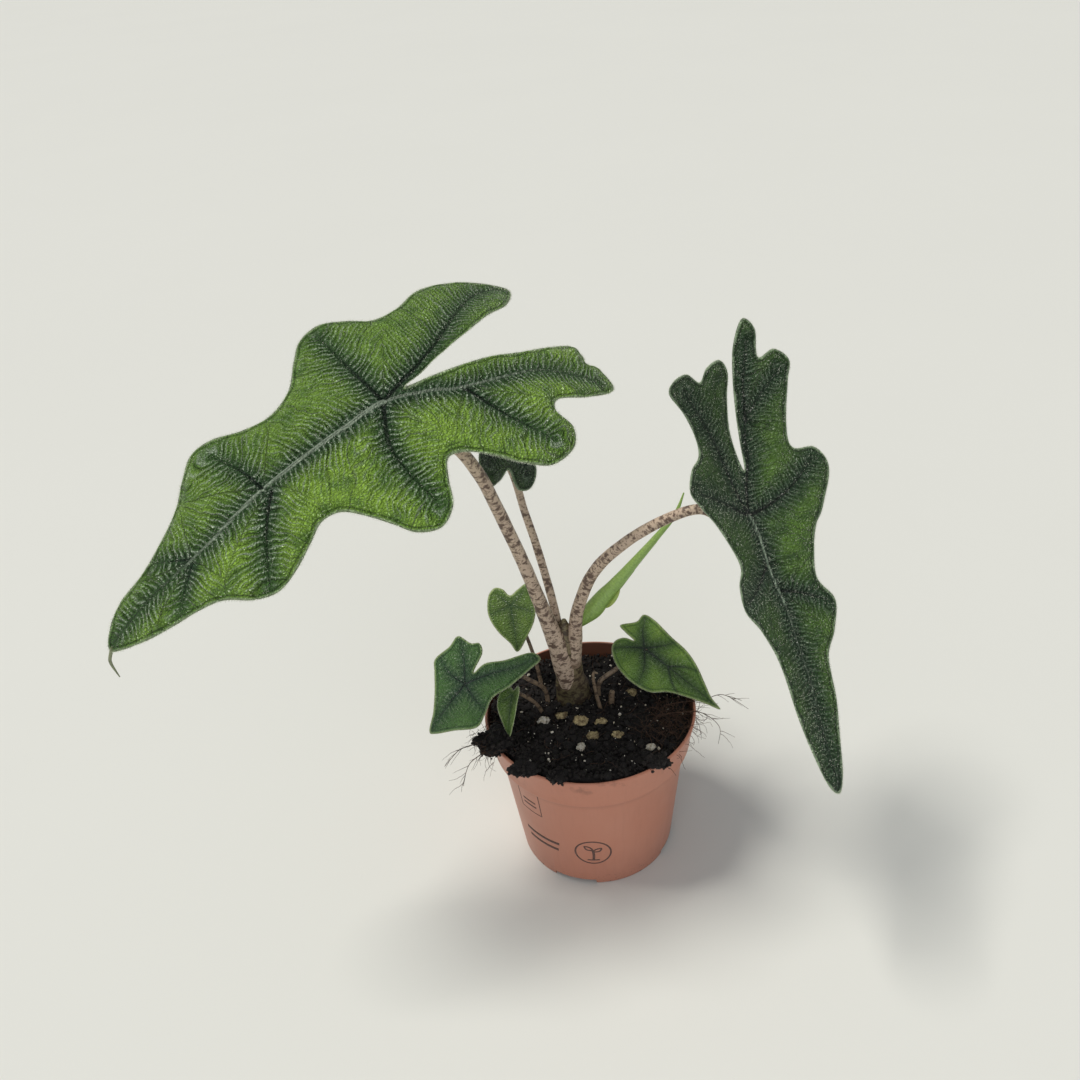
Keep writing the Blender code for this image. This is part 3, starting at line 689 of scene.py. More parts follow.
# The same plastic inside the rim, darker and browner: painted shade.
SHADED_INSIDE_PLASTIC = PlasticFinish("polypropylene_painted_shade_inside", colour="#5c3829", pale="#6e4534",
                               dark="#2b1b14")
# Stamp ink, matte and slightly worn.
INK = MottledFinish("stamp_ink_matte", colour="#54403a", other="#6e5048", size=0.5, depth=0.0,
                    roughness=0.7)
# Damp peat: nearly black, with crumbs of about a millimetre.
PEAT = MottledFinish("peat_damp_crumbly", colour="#080606", other="#1a1311", size=0.8, depth=0.5,
                     roughness=0.8)
# Loose crumbs of the same peat, a little drier and browner.
PEAT_CRUMB = MottledFinish("peat_crumb", colour="#0a0807", other="#221915", size=0.6, depth=0.3,
                           roughness=0.75)
# Expanded perlite: chalky white and pitted.
PERLITE = MottledFinish("perlite_expanded_porous", colour="#f2ede2", other="#b3a68c", size=0.8,
                        depth=0.5, roughness=0.9)
# Weathered bark chips: straw-coloured faces with brown pits.
BARK = MottledFinish("bark_weathered_chip", colour="#cdbb8e", other="#5c4930", size=1.1, depth=0.5,
                     roughness=0.9)
# Dried root fibre: thin, matte and brown.
FIBRE = MottledFinish("root_fibre_dry", colour="#2a1d16", other="#5a4130", size=1.2, depth=0.1,
                      roughness=0.85)
# Clear stiff hairs, which catch the light as pale dots and a pale fringe.
HAIR = MottledFinish("bristle_hair_clear", colour="#e6ecd8", other="#c2cdb0", size=2.0, depth=0.0,
                     roughness=0.4)
# Matte laminate of the table, so faintly clouded that it reads as plain.
TABLE = MottledFinish("table_laminate_matte", colour="#dee0db", other="#dfe1dc", size=300.0,
                      depth=0.0, roughness=0.75)


# ---------------------------------------------------------------------------------------------
# Leaves
# ---------------------------------------------------------------------------------------------


@dataclass(frozen=True)
class Vein:
    """One vein in its blade's own plane, in millimetres from the hub.

    Width is half the vein's own width at its start, halo the reach of the dark green beside it,
    ridge how far it stands up (or sinks, below zero), and valley how deep the blade folds there.
    Its last number, the painted sheen, says how strongly a painted highlight lies along its flanks.
    """

    line: tuple[Spot, ...]
    width: float = 0.3
    halo: float = 4.0
    ridge: float = -0.25
    valley: float = 0.3
    painted_sheen: float = 0.0


@dataclass
class Leaf:
    """A leaf blade bent about its hub, where its petiole joins it. Sizes are in millimetres."""

    name: str
    slot: Slot
    hub: Place
    heading: float
    pitch: float
    bank: float
    curl_tip: float
    curl_base: float
    fold: float
    outline: tuple[Spot, ...]
    veins: tuple[Vein, ...]
    upper: LeafFinish
    spacing: float = 0.42
    thickness: float = 0.45
    rib_spacing: float = 1.45
    rib_height: float = 0.3
    rib_reach: float = 10.0
    puff: float = 0.8
    ruffle: float = 0.3
    glow_left: float = 0.6
    glow_right: float = 1.0
    bristle_gap: float = 1.6
    bristle_length: float = 0.6
    bristle_radius: float = 0.05
    seed: int = 1
    ahead: Vector = field(init=False)
    up: Vector = field(init=False)
    side: Vector = field(init=False)

    def __post_init__(self) -> None:
        """Work out the blade's own directions from its heading, pitch and bank."""
        turn, tilt, roll = (math.radians(a) for a in (self.heading, self.pitch, self.bank))
        self.ahead = Vector(
            (math.cos(turn) * math.cos(tilt), math.sin(turn) * math.cos(tilt), math.sin(tilt))
        )
        level = Vector((-math.sin(turn), math.cos(turn), 0))
        self.up = self.ahead.cross(level) * math.cos(roll) + level * math.sin(roll)
        self.side = self.up.cross(self.ahead)

    def place(self, spots: Array, depth: Array | float = 0.0) -> Array:
        """Bend spots of the blade's plane into place.

        Args:
            spots: Rows of (along, across), in millimetres.
            depth: How far below the upper surface each one is.

        Returns:
            Places in millimetres, one row each.
        """
        along, across = spots[:, 0], spots[:, 1]
        fold = math.radians(self.fold)
        curl = np.where(along > 0, self.curl_tip or 1e-6, self.curl_base or 1e-6)
        bend = curl * along
        rise = math.tan(fold) * (np.hypot(across, 4.0) - 4.0) * math.cos(fold)
        ahead, up, side = (np.array(v) for v in (self.ahead, self.up, self.side))
        lift = np.cos(bend)[:, None] * up + np.sin(bend)[:, None] * ahead
        return (
            np.array(self.hub)
            + (np.sin(bend) / curl)[:, None] * ahead
            - ((1 - np.cos(bend)) / curl)[:, None] * up
            + (across * math.cos(fold))[:, None] * side
            + lift * (rise - depth)[:, None]
        )

    def spot(self, along: float, across: float, depth: float) -> Place:
        """Return one place on or below the blade, in millimetres."""
        return tuple(self.place(np.array([[along, across]]), np.array([depth]))[0])

    def survey(self, spots: Array, rim: Array) -> tuple[dict[str, Array], Array]:
        """Work out the blade's relief and where its colours lie.

        Args:
            spots: The net's points.
            rim: The outline's points.

        Returns:
            The attributes by name, and the height of the upper surface.
        """
        edge, around, _ = beside(spots, rim, closed=True)
        wander = grain(spots, 0.16, self.seed) + 0.5 * grain(spots, 0.5, self.seed + 1)
        best = np.full(len(spots), 1e9)
        halo, vein, painted_sheen, phase, valley, ridge = (np.zeros(len(spots)) for _ in range(6))
        for number, item in enumerate(self.veins):
            line = smooth_line(item.line, 0.8)
            gap, along, _ = beside(spots, line)
            left = 1 - along / along.max()
            width = item.width * (0.3 + 0.7 * left)
            reach = item.halo * (0.45 + 0.55 * left)
            halo = np.maximum(halo, np.exp(-((gap / reach) ** 2)) * (0.55 + 0.45 * left))
            core = np.exp(-((gap / width) ** 2))
            vein = np.maximum(vein, ease(core, 0.1, 0.7) * (0.45 + 0.55 * left))
            # Painted highlight: a pale sheen along each vein's flanks, fading towards its end.
            shown = item.painted_sheen * ease(left, 0.15, 0.55)
            split = 1 - 0.75 * np.exp(-((gap / (0.34 * width)) ** 2))
            painted_sheen = np.maximum(painted_sheen, ease(core, 0.25, 0.6) * split * shown)
            stand = item.ridge * (core * left**0.5 - 0.45 * (1 - split) * shown)
            ridge = np.where(np.abs(stand) > np.abs(ridge), stand, ridge)
            deep = item.valley * np.exp(-((gap / 4.5) ** 2)) * (0.3 + 0.7 * left)
            valley = np.maximum(valley, deep * (0.35 + 0.65 * ease(along, 0.0, 12.0)))
            lean = (along - 0.32 * gap - 0.014 * gap**2) / self.rib_spacing + 0.37 * number
            nearer = gap < best
            phase = np.where(nearer, lean, phase)
            best = np.minimum(best, gap)
        crinkle = grain(spots, 0.34, self.seed + 2)
        phase = phase + 0.7 * wander + 0.6 * crinkle
        reach = np.exp(-((best / self.rib_reach) ** 2)) * ease(edge, 0.6, 3.0) * ease(best, 0.2, 0.9)
        reach = reach * np.clip(0.85 + 0.6 * grain(spots, 0.25, self.seed + 3), 0.25, 1.0)
        wave = np.abs(np.sin(math.pi * phase)) ** 0.7 - 0.5
        height = ridge - valley + self.rib_height * wave * reach
        height += self.puff * (1 - np.exp(-((best / 5.0) ** 2))) * ease(edge, 0.0, 3.0)
        height -= 0.08 * np.exp(-(((edge - 0.95) / 0.3) ** 2))
        height += self.ruffle * np.sin(around * 0.75 + 2.2 * wander) * np.exp(-edge / 3.0)
        height += 0.12 * wander * ease(edge, 0.3, 3.0)
        # Yellow-green patches, partly own colour and partly painted light through the blade: stronger on
        # one side, kept off the veins and the margin.
        tilt = ease(spots[:, 1], -6.0, 6.0)
        glow = self.glow_left + (self.glow_right - self.glow_left) * tilt
        glow = glow * ease(best, 1.0, 6.5) * (1 - 0.75 * np.exp(-edge / 1.3))
        marks = {"halo": halo, "vein": vein, "painted_sheen": painted_sheen, "glow": glow, "edge": edge,
                 "phase": phase, "reach": reach,
                 "plane": np.column_stack((spots, np.zeros(len(spots))))}
        return marks, height

    def build(self) -> bpy.types.Object:
        """Build the blade with its two sides and its margin.

        Returns:
            The piece.
        """
        rim = smooth_line(self.outline, self.spacing * 0.9, closed=True)
        spots, upper_faces = net_of(rim, self.spacing)
        marks, height = self.survey(spots, rim)
        count, brink = len(spots), len(rim)
        taper = ease(marks["edge"], -0.05, 0.5)
        top = self.place(spots, -height * taper + 0.5 * self.thickness * (1 - taper))
        below = self.thickness - 0.8 * height + 0.35 * marks["vein"]
        bottom = self.place(spots, np.where(taper > 0, below * taper + 0.5 * self.thickness
                                            * (1 - taper), 0.5 * self.thickness))
        places = np.vstack((top, bottom[brink:])) * MM
        other = np.concatenate((np.arange(brink), np.arange(count, 2 * count - brink)))
        faces = np.vstack((upper_faces, other[upper_faces][:, ::-1]))
        piece = piece_from(self.name, places, faces, (self.upper.build(), UNDER_LEAF.build()))
        piece.data.polygons.foreach_set(
            "material_index", np.repeat((0, 1), len(upper_faces)).astype(np.int32)
        )
        for name, values in marks.items():
            write(piece.data, name, np.concatenate((values, values[brink:])))
        settle(piece, self.slot, self.name)
        self.grow_bristles(piece, marks["edge"], count, brink)
        return piece

    def grow_bristles(self, piece: bpy.types.Object, edge: Array, count: int, brink: int) -> None:
        """Stand clear hairs on the upper side and along the margin.

        Args:
            piece: The finished blade.
            edge: Distance of each upper point from the margin.
            count: How many points the upper side has.
            brink: How many of them are on the margin.
        """
        chance = np.random.default_rng(self.seed)
        places = places_of(piece)[:count] / MM
        normals = np.empty(len(piece.data.vertices) * 3, np.float32)
        piece.data.vertices.foreach_get("normal", normals)
        normals = normals.reshape(-1, 3)[:count].astype(float)
        wanted = int(count * self.spacing**2 * 0.866 / self.bristle_gap**2)
        open_field = np.flatnonzero(edge > 0.5)
        picked = chance.choice(open_field, min(wanted, len(open_field)), replace=False)
        lean = normals[picked] + chance.normal(0, 0.4, (len(picked), 3))
        size = self.bristle_length * chance.uniform(0.6, 1.15, len(picked))
        margin = np.tile(np.arange(brink), 2)
        run = np.roll(places[:brink], -1, axis=0) - np.roll(places[:brink], 1, axis=0)
        up = np.array(self.up)
        out = np.cross(np.broadcast_to(up, run.shape), run)
        out /= np.linalg.norm(out, axis=1)[:, None]
        fringe = np.tile(out + 0.35 * up, (2, 1)) + chance.normal(0, 0.35, (2 * brink, 3))
        fringe_size = self.bristle_length * chance.uniform(0.5, 1.3, 2 * brink)
        hairs = Hairs(f"{self.name}_bristles", HAIR, self.bristle_radius)
        hairs.build(np.vstack((places[picked], places[margin])), np.vstack((lean, fringe)),
                    np.concatenate((size, fringe_size)), chance)
        settle(hairs.piece, self.slot, self.name)


@dataclass
class Hairs:
    """Loose tapered hairs, three-sided, in one piece."""

    name: str
    finish: MottledFinish
    radius: float
    piece: bpy.types.Object | None = None

    def build(self, roots: Array, aims: Array, sizes: Array, chance: np.random.Generator) -> None:
        """Build the hairs.

        Args:
            roots: Where each hair stands, in millimetres.
            aims: The way that each one points, at any length.
            sizes: Length of each one, in millimetres.
            chance: The source of their turns.
        """
        aims = aims / np.linalg.norm(aims, axis=1)[:, None]
        first = np.cross(aims, chance.normal(0, 1, aims.shape))
        first /= np.linalg.norm(first, axis=1)[:, None]
        second = np.cross(aims, first)
        foot = roots - 0.08 * aims
        corners = [
            foot + self.radius * (math.cos(turn) * first + math.sin(turn) * second)
            for turn in (0, math.tau / 3, 2 * math.tau / 3)
        ]
        places = np.stack((*corners, roots + aims * sizes[:, None]), axis=1).reshape(-1, 3) * MM
        start = 4 * np.arange(len(roots))[:, None]
        faces = np.vstack([start + np.array(f) for f in ((0, 1, 3), (1, 2, 3), (2, 0, 3), (2, 1, 0))])
        self.piece = piece_from(self.name, places, faces, (self.finish.build(),))


# Outlines: (along, across) from the hub, from the tip round and back.
LARGE_OUTLINE = (
    (84, 0), (81, -4.5), (75, -7), (67, -7.5), (59, -10), (52, -13.5), (47, -18.5), (42, -22.5),
    (36, -22), (29, -18), (22, -16), (15, -18.5), (9.5, -25), (5, -29.5), (-1, -30.5), (-7, -27),
    (-12, -23), (-19, -23), (-28, -26.5), (-37, -26.5), (-44, -25.5), (-51, -23.5), (-55, -21.5),
    (-53, -18), (-46, -13), (-38, -10.5), (-29, -7), (-20, -4), (-11, -1.2), (-6, 0), (-12, 1),
    (-20, 2), (-28, 3), (-36, 4.5), (-45, 5), (-53, 5.5), (-54.5, 9), (-53.5, 11.5), (-57, 13.5),
    (-57.5, 19), (-53, 21.5), (-44, 21.5), (-36, 20), (-33, 22.5), (-34, 28), (-30, 33),
    (-22, 34.5), (-16, 30.5), (-11, 25), (-7, 21.5), (-3, 20.5), (0, 24.5), (3, 30), (8, 32.5),
    (13, 30), (16, 25), (19.5, 19.5), (23, 15.5), (27.5, 14.5), (32, 16.5), (38, 19), (44, 20),
    (49.5, 17.5), (55, 12.5), (61, 10), (68, 8), (76, 5),
)
TALL_OUTLINE = (
    (68.5, 0), (65, -3), (52, -5.5), (38, -6), (30, -9), (25, -13), (19, -12.5), (13, -9.5),
    (4, -13.5), (-1, -18), (-5, -20.5), (-11, -18), (-15, -14), (-20, -14), (-26, -17.5),
    (-31, -22.5), (-34.5, -20), (-36, -15), (-34, -10), (-37.5, -7), (-39.5, -2), (-36.5, 0.8),
    (-30, 0.2), (-21, 0), (-11.5, 2.2), (-22, 2.4), (-34, 2.2), (-43, 2.4), (-49.5, 4.5), (-47, 8),
    (-40, 9), (-42, 13), (-39, 17), (-33, 16.5), (-20, 15), (-15.5, 16), (-15, 21), (-11, 23.5),
    (-6, 23), (2, 19), (6, 16), (12, 13.5), (19, 12), (25, 14.5), (32, 12), (38, 8.5), (48, 7),
    (58, 4.5), (65, 2.5),
)
BACK_OUTLINE = (
    (34, 0), (27, -4), (20, -6), (13, -9), (6, -10), (0, -8), (-5, -8.5), (-10, -10),
    (-15, -8.5), (-16, -5), (-14, -2.5), (-11, -0.5), (-14, 2), (-16, 5), (-14.5, 8.5), (-10, 10),
    (-5, 8.5), (0, 8), (6, 10), (13, 9), (20, 6), (27, 4),
)
SMALL_RIGHT_OUTLINE = (
    (28, 0), (24, 1), (20, 3), (15, 5.5), (10, 7), (4, 7.5), (-3, 8.5), (-7, 8), (-7.5, 5),
    (-11, 1.5), (-8, 0.5), (-4, 0), (-7, -1), (-8.5, -3.5), (-7, -6.5), (-2, -9.5), (4, -10.5),
    (10, -9.5), (14, -6), (19, -3.5), (24, -1.5),
)
SMALL_LEFT_OUTLINE = (
    (16, -1), (11, -3), (6, -6), (2, -9), (-1, -11), (-6, -10), (-10, -10), (-10.5, -6),
    (-12, -4), (-10, -1.5), (-4, 0), (-8, 1), (-12, 5), (-18, 9.5), (-17.5, 13), (-13, 12.5),
    (-6, 11), (-1, 9), (4, 10), (8, 10), (12, 5), (15.5, 1),
)
HEART_OUTLINE = (
    (14, 0), (11, -2), (7, -5), (2, -7), (-3, -6.5), (-5.5, -4.5), (-5, -2), (-3, 0), (-4.5, 2.5),
    (-6, 5.5), (-3.5, 6.5), (1, 7.5), (5, 6.5), (9, 4),
)
CURLED_OUTLINE = (
    (11.5, 0), (8, -2.7), (3.5, -4.8), (-1, -4.4), (-2.6, -2.2), (-1.3, 0), (-2.6, 2.2), (-1, 4.4),
    (3.5, 4.4), (8, 2.6),
)

LARGE_VEINS = (
    Vein(((0, 0), (33, -1), (52, 0), (68, -1), (82, -1)), 0.55, 4.6, 0.55, 0.9, 1.0),
    Vein(((0, 0), (0.6, -14), (1, -28)), 0.55, 3.8, -0.4, 0.8),
    Vein(((0, 0), (5, 9), (6, 18), (5, 28)), 0.6, 3.8, -0.4, 0.9),
    Vein(((33, -1), (34.5, -9), (38, -18)), 0.5, 3.6, -0.4, 0.7),
    Vein(((32, 1), (39, 8.5), (45, 18)), 0.5, 3.8, -0.4, 0.7),
    Vein(((56, -1), (63, -7)), 0.25, 3.0, -0.15, 0.2),
    Vein(((56, 1), (64, 7)), 0.25, 3.0, -0.15, 0.2),
    Vein(((0, 0), (-18, -7), (-35, -17), (-45, -21), (-54, -21.5)), 0.55, 3.8, -0.4, 1.6),
    Vein(((0, 0), (-10, 4), (-16, 7), (-26, 9), (-38, 11), (-52, 17.5)), 0.42, 4.2, 0.3, 0.8, 0.7),
    Vein(((-17, 7.5), (-21, 18), (-27, 29)), 0.5, 3.4, -0.35, 0.7),
)
TALL_VEINS = (
    Vein(((0, 0), (6, 1), (15, 1), (24, 2), (34, 2), (43, 2), (54, 1), (67, 0.5)), 0.34, 2.0, 0.3,
         0.4, 0.9),
    Vein(((0, 0), (-2, 7), (-6, 14), (-12, 20)), 0.5, 2.0, -0.3, 0.5),
    Vein(((0, 0), (-3, -8), (-5, -17)), 0.45, 2.0, -0.3, 0.5),
    Vein(((0, 0), (-8, 2), (-15, 4), (-23, 4.5), (-30, 9), (-36, 14)), 0.45, 2.0, -0.25, 0.5),
    Vein(((-24, 5), (-34, 5), (-44, 6)), 0.35, 1.6, -0.2, 0.3),
    Vein(((0, 0), (-10, -3), (-18, -6), (-24, -10), (-31, -16)), 0.4, 2.0, -0.3, 0.4),
    Vein(((20, 2.5), (22, 8), (25, 13)), 0.4, 1.8, -0.3, 0.4),
    Vein(((13, 1), (19, -5), (23, -11)), 0.4, 1.8, -0.3, 0.4),
)
BACK_VEINS = (
    Vein(((0, 0), (18, 0), (32, 0)), 0.4, 3.0, 0.2, 0.4, 0.5),
    Vein(((0, 0), (3, -9)), 0.3, 2.5),
    Vein(((0, 0), (3, 9)), 0.3, 2.5),
    Vein(((0, 0), (-11, -7)), 0.3, 2.5),
    Vein(((0, 0), (-10, 7)), 0.3, 2.5),
)
SMALL_RIGHT_VEINS = (
    Vein(((0, 0), (12, 0), (27, 0)), 0.3, 3.4, -0.15, 0.25),
    Vein(((0, 0), (4, -4.5), (6, -9.5)), 0.25, 2.8, -0.12, 0.2),
    Vein(((0, 0), (4, 4), (6, 7)), 0.25, 2.8, -0.12, 0.2),
    Vein(((0, 0), (-5, -3.5), (-7, -6)), 0.25, 2.6, -0.12, 0.2),
    Vein(((0, 0), (-4, 4), (-6, 7.5)), 0.25, 2.6, -0.12, 0.2),
    Vein(((9, 0), (13, -3), (16, -4.5)), 0.18, 1.2, -0.1, 0.1),
    Vein(((9, 0), (13, 3), (17, 4.5)), 0.18, 1.2, -0.1, 0.1),
)
SMALL_LEFT_VEINS = (
    Vein(((0, 0), (8, -0.5), (15, -0.8)), 0.3, 3.0, -0.15, 0.3),
    Vein(((0, 0), (0, -5), (-2, -10)), 0.25, 2.6, -0.12, 0.25),
    Vein(((0, 0), (2, 5), (3, 9.5)), 0.25, 2.6, -0.12, 0.25),
    Vein(((0, 0), (-5, -4), (-9, -8)), 0.25, 2.6, -0.12, 0.25),
    Vein(((0, 0), (-6, 4), (-12, 9), (-17, 11.5)), 0.25, 2.6, -0.12, 0.25),
)
HEART_VEINS = (
    Vein(((0, 0), (7, 0), (13, 0)), 0.25, 2.0, -0.1, 0.2),
    Vein(((0, 0), (2, -6.5)), 0.2, 1.6, -0.08, 0.1),
    Vein(((0, 0), (2, 6.5)), 0.2, 1.6, -0.08, 0.1),
    Vein(((0, 0), (-4, -4)), 0.2, 1.6, -0.08, 0.1),
    Vein(((0, 0), (-4, 4.5)), 0.2, 1.6, -0.08, 0.1),
)
CURLED_VEINS = (
    Vein(((0, 0), (6, 0), (11, 0)), 0.25, 1.6, -0.1, 0.2),
    Vein(((0, 0), (2.5, -4)), 0.2, 1.2, -0.08, 0.1),
    Vein(((0, 0), (2.5, 4)), 0.2, 1.2, -0.08, 0.1),
)


def all_leaves() -> dict[str, Leaf]:
    """Return the seven open blades, aimed and in place."""
    quiet = {"rib_spacing": 1.5, "rib_height": 0.06, "rib_reach": 4.0, "puff": 0.25,
             "ruffle": 0.15, "spacing": 0.3, "thickness": 0.4, "bristle_gap": 1.5,
             "bristle_length": 0.22}
    return {
        "large": Leaf("leaf_large_left", slot=Slot.BRIGHT, hub=(-41.8, -10, 153.1), heading=-151,
                      pitch=-18.1, bank=25.6, curl_tip=0.0061, curl_base=0.0133, fold=-7.4,
                      outline=LARGE_OUTLINE, veins=LARGE_VEINS, upper=BRIGHT_LEAF, seed=3,
                      spacing=0.36, bristle_gap=1.4, bristle_length=0.5, bristle_radius=0.06),
        "tall": Leaf("leaf_tall_right", slot=Slot.DARK, hub=(41.9, -8, 112.9), heading=-79,
                     pitch=-38.3, bank=15.7, curl_tip=0, curl_base=-0.013, fold=22,
                     outline=TALL_OUTLINE, veins=TALL_VEINS, upper=DARK_LEAF, seed=5, spacing=0.34,
                     rib_spacing=1.2, rib_height=0.2, rib_reach=6.0, glow_left=0.25,
                     glow_right=0.62, bristle_gap=0.95, bristle_length=0.34, bristle_radius=0.068),
        "back": Leaf("leaf_back", slot=Slot.DARK, hub=(-19.4, 21, 125.6), heading=123, pitch=5,
                     bank=-28, curl_tip=0.004, curl_base=0.09, fold=6, outline=BACK_OUTLINE,
                     veins=BACK_VEINS, upper=DARK_LEAF, seed=7, spacing=0.4, glow_left=0.2,
                     glow_right=0.2, bristle_gap=1.3, bristle_length=0.5),
        "small_right": Leaf("leaf_small_right", slot=Slot.YOUNG, hub=(17.4, 12, 58.0), heading=-48,
                            pitch=-13, bank=-25, curl_tip=0.008, curl_base=0.02, fold=8,
                            outline=SMALL_RIGHT_OUTLINE, veins=SMALL_RIGHT_VEINS, upper=YOUNG_LEAF,
                            seed=11, **quiet | {"glow_left": 0.7}),
        "small_left": Leaf("leaf_small_left", slot=Slot.YOUNG, hub=(-33.8, -4, 64.1), heading=-135,
                           pitch=-26, bank=20, curl_tip=0.02, curl_base=0.02, fold=8,
                           outline=SMALL_LEFT_OUTLINE, veins=SMALL_LEFT_VEINS, upper=SHADED_LEAF,
                           seed=13, **quiet | {"glow_left": 0.15, "glow_right": 0.3}),
        "heart": Leaf("leaf_heart", slot=Slot.YOUNG, hub=(-19.9, 20, 71.4), heading=-87, pitch=-60,
                      bank=-15, curl_tip=0.02, curl_base=0.02, fold=12, outline=HEART_OUTLINE,
                      veins=HEART_VEINS, upper=PALE_LEAF, seed=17, **quiet),
        "curled": Leaf("leaf_curled", slot=Slot.YOUNG, hub=(-21.3, -5, 59.6), heading=-112,
                       pitch=-43, bank=-26, curl_tip=0.03, curl_base=0.02, fold=38,
                       outline=CURLED_OUTLINE, veins=CURLED_VEINS, upper=PALE_LEAF, seed=19,
                       **quiet),
    }


# ---------------------------------------------------------------------------------------------
# Stalks
# ---------------------------------------------------------------------------------------------


@dataclass
class Stalk:
    """A fleshy round stalk along a smooth line. Stations are (place, radius) in millimetres."""

    name: str
    slot: Slot
    stations: tuple[tuple[Place, float], ...]
    finish: Any
    flat: float = 1.0
    swell: float = 0.05
    sides: int = 10
    seed: int = 1
    piece: bpy.types.Object | None = None

    def shape(self) -> tuple[Array, Array]:
        """Sweep the stalk as a bevelled curve and turn it into a mesh.

        Returns:
            Length along the stalk and offset from its centre line, at each point.
        """
        rows = smooth_line([(*place, radius) for place, radius in self.stations], 0.7)
        line, radii = rows[:, :3], rows[:, 3]
        self.piece = swept(self.name, [(line, radii)], self.sides)
        places = places_of(self.piece) / MM
        _, along, centre = nearest_on(places, line)
        offset = places - centre
        wobble = 1 + self.swell * grain(np.column_stack((offset[:, :2], along)), 0.25, self.seed)
        offset *= wobble[:, None]
        offset[:, 1] *= self.flat
        move_to(self.piece, (centre + offset) * MM)
        return along, offset

    def build(self) -> bpy.types.Object:
        """Build the stalk and dress it.

        Returns:
            The piece.
        """
        along, offset = self.shape()
        write(self.piece.data, "along", along)
        write(self.piece.data, "around", offset * 0.5)
        self.piece.data.materials.append(self.finish.build())
        return settle(self.piece, self.slot, self.name)


def swept(name: str, lines: Sequence[tuple[Array, Array]], resolution: int) -> bpy.types.Object:
    """Sweep round sections along lines as one bevelled curve, and turn it into a mesh.

    Args:
        name: The piece's name.
        lines: Each line's places and radii, in millimetres.
        resolution: The bevel's resolution, from 0 for four sides.

    Returns:
        The mesh piece, with capped ends and outward faces.
    """
    curve = bpy.data.curves.new(name, "CURVE")
    curve.dimensions = "3D"
    curve.bevel_depth = MM
    curve.bevel_resolution = resolution
    curve.use_fill_caps = True
    for line, radii in lines:
        spline = curve.splines.new("POLY")
        spline.points.add(len(line) - 1)
        spline.points.foreach_set("co", np.column_stack((line * MM, np.ones(len(line)))).ravel())
        spline.points.foreach_set("radius", np.asarray(radii, float))
    made = bpy.data.objects.new(name, curve)
    bpy.context.scene.collection.objects.link(made)
    select_only(made)
    bpy.ops.object.convert(target="MESH")
    bpy.ops.object.mode_set(mode="EDIT")
    bpy.ops.mesh.select_all(action="SELECT")
    bpy.ops.mesh.remove_doubles(threshold=1e-6)
    bpy.ops.mesh.normals_make_consistent(inside=False)
    bpy.ops.object.mode_set(mode="OBJECT")
    bpy.ops.object.shade_smooth_by_angle(angle=math.radians(50))
    piece = start_piece(name)
    piece.select_set(False)
    return piece


def nearest_on(places: Array, line: Array) -> tuple[Array, Array, Array]:
    """Find the nearest point of a line in space.

    Args:
        places: The places to measure from.
        line: The line's points.

    Returns:
        Distance, length along the line, and the nearest point.
    """
    start, run = line[:-1], line[1:] - line[:-1]
    long = np.linalg.norm(run, axis=1)
    before = np.concatenate(([0.0], np.cumsum(long)[:-1]))
    away = places[:, None, :] - start[None]
    part = np.clip((away * run).sum(2) / np.maximum(long**2, 1e-12), 0, 1)
    gap = np.linalg.norm(away - part[..., None] * run, axis=2)
    pick = gap.argmin(1)
    rows = np.arange(len(places))
    share = part[rows, pick]
    return gap[rows, pick], before[pick] + share * long[pick], start[pick] + share[:, None] * run[pick]


